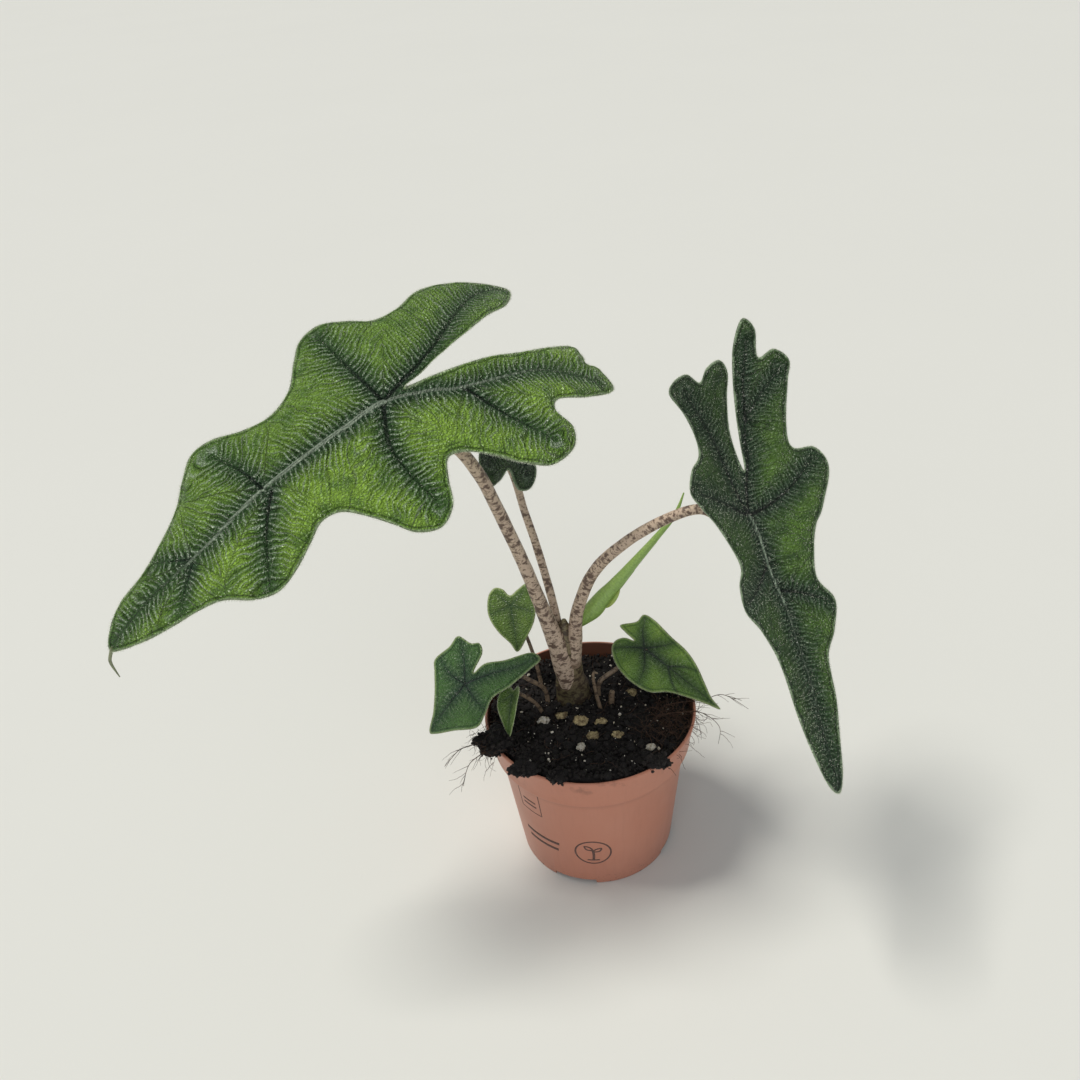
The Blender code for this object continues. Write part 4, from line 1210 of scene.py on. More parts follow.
def build_stalks(leaves: dict[str, Leaf]) -> None:
    """Build the stem and every stalk on it or round it.

    Args:
        leaves: The blades, which the stalks run up to.
    """
    x, y = STEM_FOOT
    large, tall, back = leaves["large"], leaves["tall"], leaves["back"]
    Stalk(
        "stem", Slot.PETIOLE,
        (
            (above(x + 0.3, y + 0.3, -8), 4.2), (above(x, y, -5), 5.3), (above(x - 0.4, y - 0.3, 0), 4.9),
            (above(x - 0.9, y - 0.5, 6), 4.3), (above(x - 1.5, y - 0.7, 12), 4.1),
            (above(x - 1.8, y - 1.0, STEM_TOP - 3), 3.9), (above(x - 1.9, y - 1.0, STEM_TOP + 1), 3.2),
            (above(x - 1.7, y - 1.0, STEM_TOP + 4), 2.0), (above(x - 1.5, y - 1.0, STEM_TOP + 7), 0.6),
        ),
        STEM_SKIN, flat=0.8, swell=0.12, sides=14, seed=2,
    ).build()
    stalks = (
        ("petiole_large_left", Slot.PETIOLE, STALK_SKIN, (
            (above(-5.0, 5.9, CROWN - 20), 2.2), (above(-6.2, 5.4, CROWN - 9), 3.1),
            (above(-7.8, 4.9, CROWN), 2.7), (above(-10.3, 4.5, 30.7), 2.1), (above(-14.5, 2.0, 49.4), 1.75),
            (above(-18.8, -1.0, 66.2), 1.65), (above(-23.1, -5.5, 82.0), 1.55),
            (above(-29.0, -8.3, 92.6), 1.5), (large.spot(1, 0, 5.4), 1.4), (large.spot(3, 0, 0.85), 0.9))),
        ("petiole_tall_right", Slot.PETIOLE, STALK_SKIN, (
            (above(-3.6, 5.6, CROWN - 9), 2.4), (above(-2.6, 5.0, CROWN), 2.1),
            (above(-1.3, 4.0, 31.8), 1.75), (above(3.6, 2.0, 45.2), 1.6), (above(11.7, -2.0, 56.1), 1.45),
            (above(21.5, -5.0, 63.8), 1.35), (above(29.9, -7.0, 67.2), 1.25),
            (tall.spot(0, -5, 4.1), 1.2), (tall.spot(1, -1, 0.75), 0.6))),
        ("petiole_back", Slot.PETIOLE, STALK_SKIN, (
            (above(-6.4, 7.6, CROWN - 6), 1.2), (above(-6.6, 8.3, CROWN), 1.15),
            (above(-8.0, 10.0, 32.2), 1.15), (above(-10.8, 15.0, 45.8), 1.1),
            (above(-13.4, 18.8, 56.1), 1.05), (above(-15.4, 20.6, 66.0), 1.0),
            (back.spot(0, 0, 0.6), 0.6))),
        ("petiole_small_right", Slot.PETIOLE, THIN_SKIN, (
            (by_stem(-4, 1.4, -8), 0.7), (by_stem(-3, 1.6, -3), 0.7), (by_stem(-2, 2.1, 3), 0.7),
            (above(9.0, 9.0, 5.8), 0.65), (leaves["small_right"].spot(-2, 0, 2.3), 0.6),
            (leaves["small_right"].spot(1, 0, 0.35), 0.35))),
        ("petiole_small_left", Slot.DRY, THIN_SKIN, (
            (by_stem(192, 2.6, -8), 0.65), (by_stem(194, 2.9, -3), 0.65), (by_stem(197, 3.7, 4), 0.65),
            (above(-16.0, 1.0, 11.0), 0.6), (leaves["small_left"].spot(-11, 3, 4.4), 0.6),
            (leaves["small_left"].spot(-1, 0, 0.35), 0.35))),
        ("petiole_heart", Slot.DRY, THIN_SKIN, (
            (by_stem(150, 5.0, -8), 0.6), (by_stem(149, 5.6, -3), 0.6), (above(-14.5, 15.5, 7), 0.55),
            (above(-17.6, 19.8, 17.5), 0.5), (leaves["heart"].spot(0, 0, 0.35), 0.3))),
        ("petiole_curled", Slot.DRY, THIN_SKIN, (
            (by_stem(210, 5.0, -8), 0.6), (by_stem(211, 5.8, -3), 0.6), (above(-15.2, -0.8, 4), 0.55),
            (above(-18.8, -3.4, 10.0), 0.5), (leaves["curled"].spot(-0.5, 0, 0.35), 0.3))),
        ("sprout", Slot.YOUNG, THIN_SKIN, (
            (by_stem(-38, 4.0, -7), 0.6), (by_stem(-38, 3.5, -3), 0.6), (by_stem(-41, 2.5, 3), 0.5),
            (by_stem(-43, 2.0, 9), 0.45), (by_stem(-40, 2.3, 10.8), 0.4), (by_stem(-37, 3.0, 10.2), 0.25))),
        ("cut_stub", Slot.BARK, THIN_SKIN, (
            (by_stem(-18, 5.5, -7), 0.9), (by_stem(-18, 5.5, -3), 0.9), (by_stem(-18, 5.7, 0.5), 0.85),
            (by_stem(-18, 5.9, 1.6), 0.8))),
        ("leaf_dry_tip", Slot.DRY, TIP_SKIN, (
            (large.spot(83.2, -0.3, 0.2), 0.45), (large.spot(85.5, 0.3, 0.8), 0.4),
            (large.spot(87, 1.0, 1.6), 0.35), (large.spot(89, 3.4, 3.8), 0.12))),
    )
    for seed, (name, slot, finish, stations) in enumerate(stalks):
        Stalk(name, slot, stations, finish, sides=6 if stations[0][1] < 1 else 8, seed=seed + 3).build()


@dataclass
class RolledLeaf:
    """A new leaf still rolled in a spindle, with one edge that has begun to open."""

    name: str = "leaf_rolled_new"

    def build(self) -> bpy.types.Object:
        """Build the spindle with the overlap of its roll.

        Returns:
            The piece.
        """
        stalk = Stalk(
            self.name, Slot.YOUNG,
            (
                (above(-3.6, 8.4, CROWN - 5), 0.8), (above(-3.3, 9.0, CROWN), 0.9),
                (above(-3.1, 9.1, CROWN + 1.2), 1.0), (above(-0.6, 9.6, 23.9), 1.7),
                (above(3.0, 10.3, 26.6), 2.4), (above(5.8, 11.0, 29.6), 2.3),
                (above(9.2, 11.8, 32.8), 1.9), (above(15.7, 13.5, 39.3), 1.3),
                (above(22.1, 15.0, 45.9), 0.9), (above(27.3, 16.5, 51.5), 0.6),
                (above(30.0, 18.0, 57.3), 0.2),
            ),
            None, swell=0.04, sides=14, seed=31,
        )
        along, offset = stalk.shape()
        piece = stalk.piece
        places = places_of(piece) / MM
        turn = np.arctan2(offset[:, 1], offset[:, 2] - 0.4 * offset[:, 0])
        part = ((turn + 2.2 + 0.02 * along) % math.tau) / math.tau
        places += offset * (0.16 * part - 0.06)[:, None]
        move_to(piece, places * MM)
        count = len(places)
        flat = {name: np.zeros(count) for name in ("halo", "vein", "painted_sheen", "reach")}
        flat["edge"] = np.full(count, 3.0) - 2.6 * np.exp(-((part / 0.04) ** 2))
        # The partly painted yellow-green rises round the roll.
        flat["glow"] = 0.6 * ease(part, 0.1, 0.9)
        flat["phase"] = along / 1.6 + part
        flat["plane"] = np.column_stack((along, 6 * part, np.zeros(count)))
        for name, values in flat.items():
            write(piece.data, name, values)
        finish = LeafFinish("leaf_rolled_fresh", dark="#6b9147", mid="#8fb05c", bright="#b0c065",
                            crease="#7f9f52", vein="#6b9147", painted_sheen="#b5cc8a", margin="#c5d49c",
                            gloss=0.36, rib_depth=0.03, net_depth=0.05, crease_share=0.3,
                            crest_share=0.1)
        piece.data.materials.append(finish.build())
        self.open_edge(finish)
        return settle(piece, Slot.YOUNG, self.name)

    def open_edge(self, finish: LeafFinish) -> None:
        """Build the small bulge where the roll has begun to open.

        Args:
            finish: The rolled leaf's own finish.
        """
        deselect()
        bpy.ops.mesh.primitive_uv_sphere_add(segments=32, ring_count=20, radius=1.0)
        piece = start_piece(f"{self.name}_open_edge")
        ball = places_of(piece)
        ball[:, 0] += 0.35 * (ball[:, 2] ** 2)
        ball *= (1.5, 0.7, 3.6)
        lean = Vector((0.62, 0.14, 0.77)).to_track_quat("Z", "Y").to_matrix()
        centre = above(8.9, 10.6, 29.6)
        move_to(piece, (ball @ np.array(lean).T + centre) * MM)
        bpy.ops.object.shade_smooth()
        count = len(ball)
        write(piece.data, "glow", np.ones(count))
        write(piece.data, "edge", np.full(count, 3.0))
        write(piece.data, "plane", ball)
        piece.data.materials.append(finish.build())
        settle(piece, Slot.YOUNG, self.name)


# ---------------------------------------------------------------------------------------------
# Pot and soil
# ---------------------------------------------------------------------------------------------


@dataclass
class Pot:
    """Round nursery pot: tapered body, stepped rim band, four drainage slots at the foot."""

    facets: int = 160
    slot_width: float = 12.5
    slot_height: float = 1.6
    slot_turn: float = -112.0
    painted_shade_above: float = 30.0
    profile: tuple[Spot, ...] = (
        (22.35, 0.12), (22.5, 0.5), (24.6, 18.7), (26.75, 37.3), (26.85, 37.55), (27.1, 37.66),
        (27.85, 37.68), (28.15, 37.8), (28.32, 38.15), (28.36, 38.7), (28.4, 39.6), (29.0, 42.8),
        (29.9, 47.2), (30.0, 47.6),
        (29.9, 47.88), (29.7, 48.0), (29.35, 48.0), (29.15, 47.88), (29.08, 47.6), (28.1, 42.8),
        (27.1, 37.9), (26.9, 37.6), (26.1, 37.2), (25.85, 36.9), (21.75, 1.7), (21.3, 1.25),
        (20.6, 1.2),
    )

    def build(self) -> bpy.types.Object:
        """Draw the pot up from a disc, cut its slots and dress it.

        Returns:
            The piece.
        """
        deselect()
        radius, height = 22.0, 0.0
        bpy.ops.mesh.primitive_circle_add(vertices=self.facets, radius=radius * MM, fill_type="NGON")
        piece = start_piece("pot_shell")
        bpy.ops.object.mode_set(mode="EDIT")
        bpy.ops.mesh.select_all(action="SELECT")
        for wider, higher in self.profile:
            bpy.ops.mesh.extrude_region_move(
                TRANSFORM_OT_translate={"value": (0, 0, (higher - height) * MM)}
            )
            bpy.ops.transform.resize(value=(wider / radius, wider / radius, 1),
                                     center_override=(0, 0, higher * MM))
            radius, height = wider, higher
        bpy.ops.mesh.select_all(action="SELECT")
        bpy.ops.mesh.normals_make_consistent(inside=False)
        bpy.ops.object.mode_set(mode="OBJECT")
        for quarter in range(4):
            self.cut_slot(piece, math.radians(self.slot_turn + 90 * quarter))
        bpy.ops.object.shade_smooth_by_angle(angle=math.radians(40))
        piece.data.materials.clear()
        piece.data.materials.append(PLASTIC.build())
        piece.data.materials.append(SHADED_INSIDE_PLASTIC.build())
        # Faces inside the rim above that height take the darker plastic, as painted shade.
        for face in piece.data.polygons:
            inward = face.normal.xy.dot(face.center.xy.normalized()) < -0.5
            face.material_index = int(inward and face.center.z > self.painted_shade_above * MM)
        return settle(piece, Slot.POT, "pot")

    def cut_slot(self, piece: bpy.types.Object, turn: float) -> None:
        """Cut one drainage slot through the foot.

        Args:
            piece: The pot.
            turn: The slot's angle about the pot's axis, in radians.
        """
        deselect()
        reach = BASE_RADIUS * MM
        bpy.ops.mesh.primitive_cube_add(
            size=1, location=(reach * math.cos(turn), reach * math.sin(turn), 0),
            rotation=(0, 0, turn), scale=(5 * MM, self.slot_width * MM, 2 * self.slot_height * MM),
        )
        cutter = start_piece("slot_cutter")
        bpy.ops.object.transform_apply(location=True, rotation=True, scale=True)
        select_only(piece)
        step = piece.modifiers.new("slot", "BOOLEAN")
        step.operation = "DIFFERENCE"
        step.solver = "EXACT"
        step.object = cutter
        bpy.ops.object.modifier_apply(modifier=step.name)
        bpy.data.objects.remove(cutter, do_unlink=True)


@dataclass
class PotStamp:
    """Plain stamped marks on the pot's body: a ring with a seedling, two bars and a panel."""

    name: str = "pot_stamp"
    lift: float = 0.03
    strokes: list[tuple[Array, float]] = field(default_factory=list)

    def stroke(self, angle: float, height: float, line: Sequence[Spot], width: float,
               closed: bool = False, sharp: bool = False) -> None:
        """Add one stroke.

        Args:
            angle: Where the mark is centred round the pot, in degrees.
            height: How high its centre is, in millimetres.
            line: The stroke's points about that centre, in millimetres.
            width: The stroke's width.
            closed: Whether it returns to its start.
            sharp: Whether it is a closed one that keeps its corners.
        """
        if sharp:
            corners = np.asarray([*line, line[0]], float)
            sides = [smooth_line(pair, 0.35) for pair in zip(corners, corners[1:])]
            run = np.vstack([side[:-1] for side in sides])
        else:
            run = smooth_line(line, 0.35, closed)
        if closed:
            run = np.vstack((run, run[:1]))
        shift = (math.radians(angle) * MARK_RADIUS, height)
        self.strokes.append((run + shift, width))

    def build(self) -> bpy.types.Object:
        """Build every stroke as a thin raised band on the pot's wall.

        Returns:
            The piece.
        """
        places, faces = [], []
        for run, width in self.strokes:
            step = np.gradient(run, axis=0)
            step /= np.maximum(np.linalg.norm(step, axis=1), 1e-9)[:, None]
            away = np.column_stack((-step[:, 1], step[:, 0])) * width / 2
            first = len(places)
            for centre, out in zip(run, away):
                for side in (-1, 1):
                    for lift in (-self.lift, self.lift):
                        places.append(self.on_wall(*(centre + side * out), lift))
            for k in range(len(run) - 1):
                a, b = first + 4 * k, first + 4 * (k + 1)
                faces += [(a + i, a + j, b + j, b + i) for i, j in ((0, 1), (1, 3), (3, 2), (2, 0))]
            faces += [(first, first + 2, first + 3, first + 1)]
            last = first + 4 * (len(run) - 1)
            faces += [(last, last + 1, last + 3, last + 2)]
        piece = piece_from(self.name, np.array(places) * MM, faces, (INK.build(),))
        select_only(piece)
        bpy.ops.object.mode_set(mode="EDIT")
        bpy.ops.mesh.select_all(action="SELECT")
        bpy.ops.mesh.normals_make_consistent(inside=False)
        bpy.ops.object.mode_set(mode="OBJECT")
        return settle(piece, Slot.POT, "pot")

    @staticmethod
    def on_wall(sweep: float, height: float, lift: float) -> Place:
        """Wrap a point of the flat drawing round the pot's outer wall.

        Args:
            sweep: Its length round the pot, in millimetres.
            height: Its height above the pot's base.
            lift: How far it stands off the wall.

        Returns:
            Its place in millimetres.
        """
        widening = (WALL_HEAD_RADIUS - BASE_RADIUS) * (height - WALL_FOOT) / (WALL_HEAD - WALL_FOOT)
        radius = BASE_RADIUS + widening + lift
        turn = sweep / MARK_RADIUS
        return radius * math.cos(turn), radius * math.sin(turn), height


def stamp_pot() -> None:
    """Draw the pot's stamped marks."""
    stamp = PotStamp()
    ring = [(5.1 * math.cos(t), 5.1 * math.sin(t)) for t in np.linspace(0, math.tau, 24)[:-1]]
    stamp.stroke(-96.6, 15.0, ring, 0.5, closed=True)
    stamp.stroke(-96.6, 15.0, ((0, -3.4), (0.15, -1.2), (0, 1.0)), 0.75)
    stamp.stroke(-96.6, 15.0, ((0, 0.6), (0.9, 1.6), (2.4, 2.0), (1.8, 0.6), (0, 0.4)), 0.5)
    stamp.stroke(-96.6, 15.0, ((0, 1.2), (-0.8, 2.4), (-2.3, 2.9), (-1.8, 1.4), (0, 1.0)), 0.5)
    stamp.stroke(-96.6, 15.0, ((-1.8, -3.4), (0, -3.5), (1.8, -3.4)), 0.5)
    stamp.stroke(-134, 16.4, ((-6, 0), (0, 0), (6, 0)), 1.1)
    stamp.stroke(-132, 13.6, ((-6, 0), (0, 0), (4.6, 0)), 1.1)
    panel = ((-3.6, -4.6), (3.6, -4.6), (3.6, 4.6), (-3.6, 4.6))
    stamp.stroke(-138, 31.2, panel, 0.25, closed=True, sharp=True)
    stamp.stroke(-138, 31.2, ((-2.2, 0), (0, 0), (2.2, 0)), 0.6)
    stamp.stroke(-138, 29.4, ((-2.2, 0), (0, 0), (2.2, 0)), 0.6)
    stamp.build()


def crumb_shape(detail: int, seed: int) -> tuple[Array, Array]:
    """Model one rough crumb about a unit across.

    Args:
        detail: Subdivisions of the ball it starts from.
        seed: Which crumb it is.

    Returns:
        Its points and its triangles.
    """
    deselect()
    bpy.ops.mesh.primitive_ico_sphere_add(subdivisions=detail, radius=0.5)
    ball = start_piece("crumb_shape")
    bpy.ops.object.mode_set(mode="EDIT")
    bpy.ops.mesh.select_all(action="SELECT")
    bpy.ops.transform.vertex_random(offset=0.16 if detail == 1 else 0.07, seed=seed)
    bpy.ops.object.mode_set(mode="OBJECT")
    places = places_of(ball)
    faces = np.array([tuple(face.vertices) for face in ball.data.polygons])
    bpy.data.objects.remove(ball, do_unlink=True)
    return places, faces


def strew(name: str, spots: Array, sizes: Array, finish: MottledFinish, seed: int,
          detail: int = 1) -> bpy.types.Object:
    """Strew turned and stretched copies of a few crumbs, joined in one piece.

    Args:
        name: The piece's name.
        spots: Where each crumb lies, in millimetres.
        sizes: How big each one is.
        finish: What they are made of.
        seed: The source of their turns.
        detail: Subdivisions of each crumb.

    Returns:
        The piece.
    """
    chance = np.random.default_rng(seed)
    kinds = [crumb_shape(detail, seed + k) for k in range(5)]
    places, faces, count = [], [], 0
    for i, (spot, size) in enumerate(zip(spots, sizes)):
        shape, corners = kinds[i % len(kinds)]
        axis = Vector(chance.normal(0, 1, 3)).normalized()
        turn = np.array(Matrix.Rotation(chance.uniform(0, math.tau), 3, axis))
        stretch = chance.uniform(0.65, 1.35, 3)
        places.append((shape * stretch) @ turn.T * size + spot)
        faces.append(corners + count)
        count += len(shape)
    piece = piece_from(name, np.vstack(places) * MM, np.vstack(faces), (finish.build(),))
    piece.data.shade_flat()
    return piece


@dataclass
class SoilBed:
    """Potting soil: a rough bed that fills the pot, under loose crumbs, lumps and specks."""

    radius: float = 28.0
    crumbs: int = 4200
    lumps: int = 420
    specks: int = 170

    def build(self) -> None:
        """Build the bed and what lies on it."""
        turns = np.linspace(0, math.tau, 300)[:-1]
        rim = self.radius * np.column_stack((np.cos(-turns), np.sin(-turns)))
        spots, faces = net_of(rim, 0.62)
        rough = (1.1 * np.abs(grain(spots, 0.42, 41)) + 0.7 * np.abs(grain(spots, 1.0, 42))
                 + 0.35 * grain(spots, 2.4, 43))
        level = np.array([soil_level(*spot) for spot in spots.tolist()])
        height = np.minimum(level + 1.1 * rough - 0.2, POT_HEIGHT + 0.6)
        brink = len(rim)
        top = np.column_stack((spots, height))
        top[:brink, 2] = level[:brink] - 0.9
        rings = [top]
        for z, radius in ((BAND_FOOT + 0.2, 26.7), (BAND_FOOT - 1.2, 25.5), (1.9, 21.5)):
            rings.append(np.column_stack((rim * radius / self.radius, np.full(brink, z))))
        places = np.vstack(rings)
        starts = [0, len(top), len(top) + brink, len(top) + 2 * brink]
        wall = []
        for upper, lower in zip(starts, starts[1:]):
            for k in range(brink):
                j = (k + 1) % brink
                wall.append((upper + k, upper + j, lower + j, lower + k))
        floor = [starts[-1] + k for k in range(brink)]
        bed = piece_from("soil_bed", places * MM, [*faces.tolist(), *wall, floor], (PEAT.build(),))
        settle(bed, Slot.SOIL, "soil")
        self.scatter()

    def lie(self, chance: np.random.Generator, count: int, reach: float) -> Array:
        """Choose spots spread evenly over the bed.

        Args:
            chance: The source of the spots.
            count: How many.
            reach: The largest radius.

        Returns:
            Their places in millimetres.
        """
        turn = chance.uniform(0, math.tau, count)
        radius = reach * np.sqrt(chance.uniform(0, 1, count))
        x, y = radius * np.cos(turn), radius * np.sin(turn)
        z = np.array([soil_level(a, b) for a, b in zip(x.tolist(), y.tolist())])
        return np.column_stack((x, y, z))

    def scatter(self) -> None:
        """Strew crumbs, larger lumps and pale specks over the bed."""
        chance = np.random.default_rng(51)
        spots = self.lie(chance, self.crumbs, 28.3)
        sizes = 0.35 + 0.9 * chance.power(0.6, self.crumbs)[::-1] ** 2
        spots[:, 2] += 0.6 + 0.25 * sizes
        settle(strew("soil_crumbs", spots, sizes, PEAT_CRUMB, 61), Slot.SOIL, "soil")
        spots = self.lie(chance, self.lumps, 27.6)
        sizes = chance.uniform(1.1, 2.3, self.lumps)
        spots[:, 2] += 0.5
        settle(strew("soil_lumps", spots, sizes, PEAT, 71, detail=2), Slot.SOIL, "soil")
        spots = self.lie(chance, self.specks, 27.0)
        sizes = 0.2 + 0.7 * chance.uniform(0, 1, self.specks) ** 3
        spots[:, 2] += 1.3
        settle(strew("soil_specks", spots, sizes, PERLITE, 81), Slot.PERLITE, "perlite_a")


@dataclass
class Lump:
    """One rough grain or clump, worked up from a ball. Sizes are half sizes in millimetres."""

    name: str
    slot: Slot
    node: str
    centre: Place
    radii: Place
    finish: MottledFinish
    seed: int
    pits: float = 0.18
    floor: float | None = None
    crumbs: int = 0

    def build(self) -> None:
        """Build the grain with its pits, and the crumbs that cling to it."""
        deselect()
        bpy.ops.mesh.primitive_ico_sphere_add(subdivisions=5, radius=1.0)
        piece = start_piece(self.name)
        ball = places_of(piece)
        swell = 1 + 0.5 * grain(ball, 1.2, self.seed) - self.pits * np.abs(grain(ball, 4.0, self.seed + 1))
        swell += 0.4 * self.pits * grain(ball, 9.0, self.seed + 2)
        places = ball * swell[:, None] * self.radii + self.centre
        if self.floor is not None:
            places[:, 2] = np.maximum(places[:, 2], self.floor + 0.1 * grain(ball, 6.0, self.seed))
        move_to(piece, places * MM)
        bpy.ops.object.shade_smooth()
        piece.data.materials.append(self.finish.build())
        settle(piece, self.slot, self.node)
        if self.crumbs:
            chance = np.random.default_rng(self.seed)
            picks = chance.choice(len(places), self.crumbs, replace=False)
            sizes = chance.uniform(0.35, 1.3, self.crumbs)
            loose = places[picks] + chance.normal(0, 0.35, (self.crumbs, 3))
            settle(strew(f"{self.name}_crumbs", loose, sizes, PEAT_CRUMB, self.seed + 100),
                   self.slot, self.node)


def build_grains() -> None:
    """Build the perlite and bark grains on the soil, and the clumps on the rim."""
    grains = (
        ("perlite_a", -166, 0.49, (1.7, 1.4, 1.1)), ("perlite_b", -48, 0.79, (1.3, 1.1, 0.9)),
        ("perlite_c", -104, 0.55, (1.2, 1.3, 0.9)), ("bark_a", -168, 0.29, (1.9, 1.2, 0.9)),
        ("bark_b", -123, 0.2, (2.3, 1.4, 1.1)), ("bark_c", -63, 0.2, (1.6, 1.3, 1.0)),
        ("bark_d", -91, 0.38, (1.9, 1.5, 1.1)), ("bark_e", -60, 0.46, (1.6, 1.2, 1.0)),
        ("bark_f", 30, 0.51, (1.7, 1.4, 1.0)),
    )
    for seed, (name, angle, share, radii) in enumerate(grains):
        turn = math.radians(angle)
        reach = share * 28.63
        x, y = reach * math.cos(turn), reach * math.sin(turn)
        white = name.startswith("perlite")
        Lump(f"{name}_grain", Slot.PERLITE if white else Slot.BARK, name,
             (x, y, soil_level(x, y) + 0.9 + 0.25 * radii[2]), radii, PERLITE if white else BARK,
             seed + 91, pits=0.5).build()
    clumps = (
        ("soil_clump_left", -157, -0.3, (6.0, 4.6, 2.6), 260),
        ("soil_clump_front", -131, 0.0, (3.2, 2.6, 1.8), 120),
        ("soil_clump_front_low", -112, -1.5, (2.6, 2.2, 1.3), 80),
        ("soil_clump_right", -57, -0.9, (3.4, 2.4, 1.5), 100),
    )
    for seed, (name, angle, beyond, radii, crumbs) in enumerate(clumps):
        centre = by_rim(angle, beyond, FIT_GAP + 0.25 * radii[2])
        Lump(f"{name}_core", Slot.SOIL, name, centre, radii, PEAT, seed + 111, pits=0.35,
             floor=POT_HEIGHT + 0.1, crumbs=crumbs).build()


@dataclass
class Roots:
    """Loose roots over the rim, with the hair roots and the matted tufts that they come from."""

    def wander(self, chance: np.random.Generator, start: Array, aim: Array, length: float,
               curl: float, sag: float = 0.0) -> Array:
        """Let one fibre wander from a place.

        Args:
            chance: The source of its bends.
            start: Where it starts, in millimetres.
            aim: The way that it sets off.
            length: How long it is.
            curl: How much it bends at each step.
            sag: How much it drops at each step.

        Returns:
            Its points, one row each.
        """
        steps = max(4, int(length / 0.8))
        way = aim / np.linalg.norm(aim)
        points = [start]
        for _ in range(steps):
            way = way + chance.normal(0, curl, 3) - (0, 0, sag)
            way /= np.linalg.norm(way)
            points.append(points[-1] + way * length / steps)
        return np.array(points)

    def build(self) -> None:
        """Build the four loose roots and their hair, then the tufts and strewn fibres."""
        strands = (
            ("root_left_a", ((-160, 1.0, 1.2), (-160, 6.6, 1.1), (-160, 9.8, 0.6), (-159, 14.3, -2.5))),
            ("root_left_b", ((-153, 1.0, 1.2), (-152.5, 5.6, 0.9), (-151, 9.4, 0.2), (-148, 12.9, -3.5))),
            ("root_right_a", ((-3, -9.5, -1), (-5, -3.4, 0.9), (-5, 2.1, 1.4), (-2, 8, 1.3),
                              (-9, 14.5, 0.3))),
            ("root_right_b", ((-13, -9.5, -1), (-14, -3.2, 0.9), (-14.5, 2, 1.2), (-17.5, 6.7, -1.5),
                              (-24, 7.2, -4))),
        )
        finish = FIBRE.build()
        chance = np.random.default_rng(7)
        for name, stations in strands:
            line = smooth_line([by_rim(*spot) for spot in stations], 0.6)
            radii = np.linspace(0.17, 0.05, len(line))
            lines = [(line, radii)]
            for _ in range(9):
                at = line[int(chance.uniform(0.2, 0.95) * (len(line) - 1))]
                aim = line[-1] - line[0] + chance.normal(0, 5, 3)
                side = self.wander(chance, at, aim, chance.uniform(2, 6), 0.13)
                lines.append((side, np.linspace(0.07, 0.03, len(side))))
            piece = swept(f"{name}_strand", lines, 1)
            piece.data.materials.append(finish)
            settle(piece, Slot.ROOT, name)
        self.mat(chance, finish)

    def mat(self, chance: np.random.Generator, finish: bpy.types.Material) -> None:
        """Build the matted tufts inside the rim and the fibres strewn on the soil.

        Args:
            chance: The source of the fibres.
            finish: Their material.
        """
        lines = []
        for _ in range(230):
            angle, beyond = chance.normal(-14, 13), chance.uniform(-13, -1.2)
            start = np.array(by_rim(angle, beyond, 0))
            start[2] = soil_level(start[0], start[1]) + chance.uniform(0.3, 2.6)
            aim = np.array([chance.normal(0.4, 0.7), chance.normal(-0.6, 0.7), chance.normal(0.05, 0.2)])
            line = self.wander(chance, start, aim, chance.uniform(4, 11), 0.28, 0.02)
            lines.append((line, np.linspace(chance.uniform(0.06, 0.14), 0.04, len(line))))
        for _ in range(90):
            start = np.array(by_rim(chance.normal(-158, 7), chance.uniform(-4, 4.5), 0))
            start[2] = POT_HEIGHT + chance.uniform(0.4, 3.0)
            aim = np.array([chance.normal(-0.8, 0.5), chance.normal(-0.5, 0.5), chance.normal(-0.2, 0.3)])
            line = self.wander(chance, start, aim, chance.uniform(2.5, 6.5), 0.32, 0.05)
            lines.append((line, np.linspace(chance.uniform(0.05, 0.11), 0.03, len(line))))
        for _ in range(110):
            turn, reach = chance.uniform(0, math.tau), 27 * math.sqrt(chance.uniform(0, 1))
            start = np.array([reach * math.cos(turn), reach * math.sin(turn), 0.0])
            start[2] = soil_level(start[0], start[1]) + 1.2
            aim = np.array([chance.normal(), chance.normal(), 0.15])
            line = self.wander(chance, start, aim, chance.uniform(2, 6), 0.3, 0.03)
            inside_pot = np.hypot(line[:, 0], line[:, 1]) < 28.4
            lines.append((line[inside_pot], np.full(inside_pot.sum(), 0.06)))
        lines = [(line, radii) for line, radii in lines if len(line) > 3]
        piece = swept("root_mat", lines, 0)
        piece.data.materials.append(finish)
        settle(piece, Slot.ROOT, "root_right_a")


# ---------------------------------------------------------------------------------------------
# Room
# ---------------------------------------------------------------------------------------------


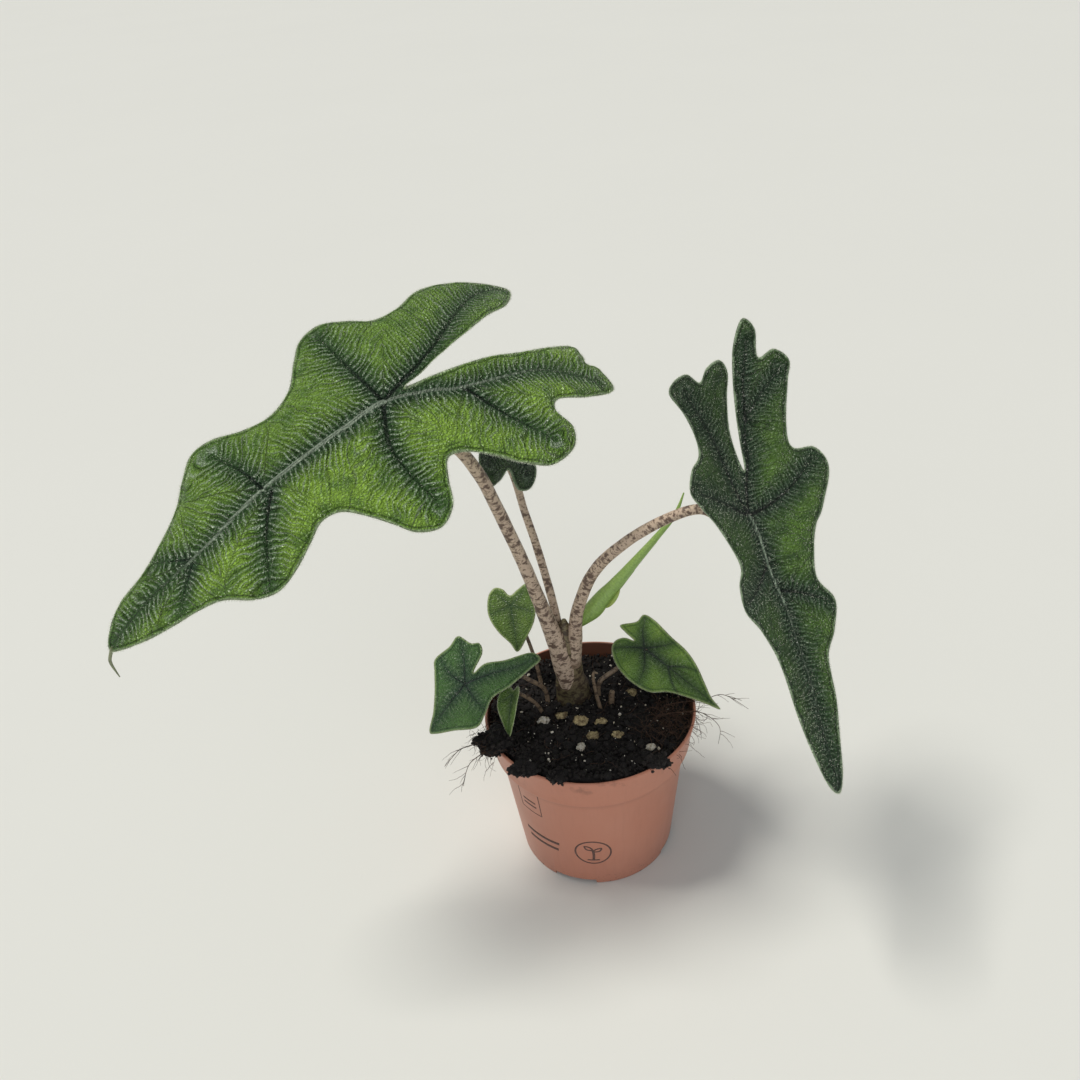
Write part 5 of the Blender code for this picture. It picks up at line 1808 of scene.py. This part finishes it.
@dataclass
class Studio:
    """Plain pale floor, soft light and the camera."""

    floor_size: float = 60.0
    sky_colour: str = "#e9ebee"
    sky_strength: float = 0.33
    focal_length: float = 35.0
    sensor_width: float = 36.0
    camera_place: Place = (-0.0098, -0.225, 0.2511)

    def build(self) -> None:
        """Build the floor, the lights and the camera."""
        deselect()
        bpy.ops.mesh.primitive_plane_add(size=self.floor_size, location=(0, 0, 0))
        floor = start_piece("floor")
        floor.data.materials.append(TABLE.build())
        self.light("key_light", (-0.42, 0.05, 1.05), 0.3, 2.25, "#fffaf2")
        self.light("fill_light", (0.0, -0.95, 0.65), 1.0, 0.65, "#f6f8ff")
        world = bpy.data.worlds.new("studio")
        bpy.context.scene.world = world
        world.use_nodes = True
        shade = world.node_tree.nodes["Background"]
        shade.inputs["Color"].default_value = linear(self.sky_colour)
        shade.inputs["Strength"].default_value = self.sky_strength
        bpy.context.scene.view_settings.view_transform = "Standard"
        self.aim_camera()

    def light(self, name: str, place: Place, width: float, power: float, colour: str) -> None:
        """Hang one far, soft light that faces the plant.

        Args:
            name: The light's name.
            place: A point on the way to it from the plant, in metres.
            width: How wide it looks from the plant, in radians.
            power: Its power in watts on each square metre.
            colour: Its colour in hex.
        """
        deselect()
        aim = (Vector((0, 0, 0.08)) - Vector(place)).to_track_quat("-Z", "Y").to_euler()
        bpy.ops.object.light_add(type="SUN", location=place, rotation=aim)
        lamp = bpy.context.object
        lamp.name = name
        lamp.data.angle = width
        lamp.data.energy = power
        lamp.data.color = linear(colour)[:3]

    def aim_camera(self) -> None:
        """Stand the camera where it looks down on the plant a little from the front."""
        across = Vector((0.996, -0.0487, -0.0755))
        back = Vector((0, -0.8403, 0.5421)).normalized()
        across = (across - back * across.dot(back)).normalized()
        upright = back.cross(across)
        lens = bpy.data.cameras.new("camera")
        lens.sensor_width = self.sensor_width
        lens.lens = self.focal_length
        lens.clip_start = 0.01
        camera = bpy.data.objects.new("camera", lens)
        bpy.context.scene.collection.objects.link(camera)
        turn = Matrix((across, upright, back)).transposed().to_4x4()
        camera.matrix_world = Matrix.Translation(self.camera_place) @ turn
        bpy.context.scene.camera = camera


def main() -> None:
    """Build the plant from its pot up, then the room round it."""
    logging.basicConfig(level=logging.INFO, format="%(name)s %(message)s")
    Pot().build()
    stamp_pot()
    SoilBed().build()
    build_grains()
    Roots().build()
    leaves = all_leaves()
    build_stalks(leaves)
    RolledLeaf().build()
    for leaf in leaves.values():
        leaf.build()
    Studio().build()


if __name__ == "__main__":
    main()
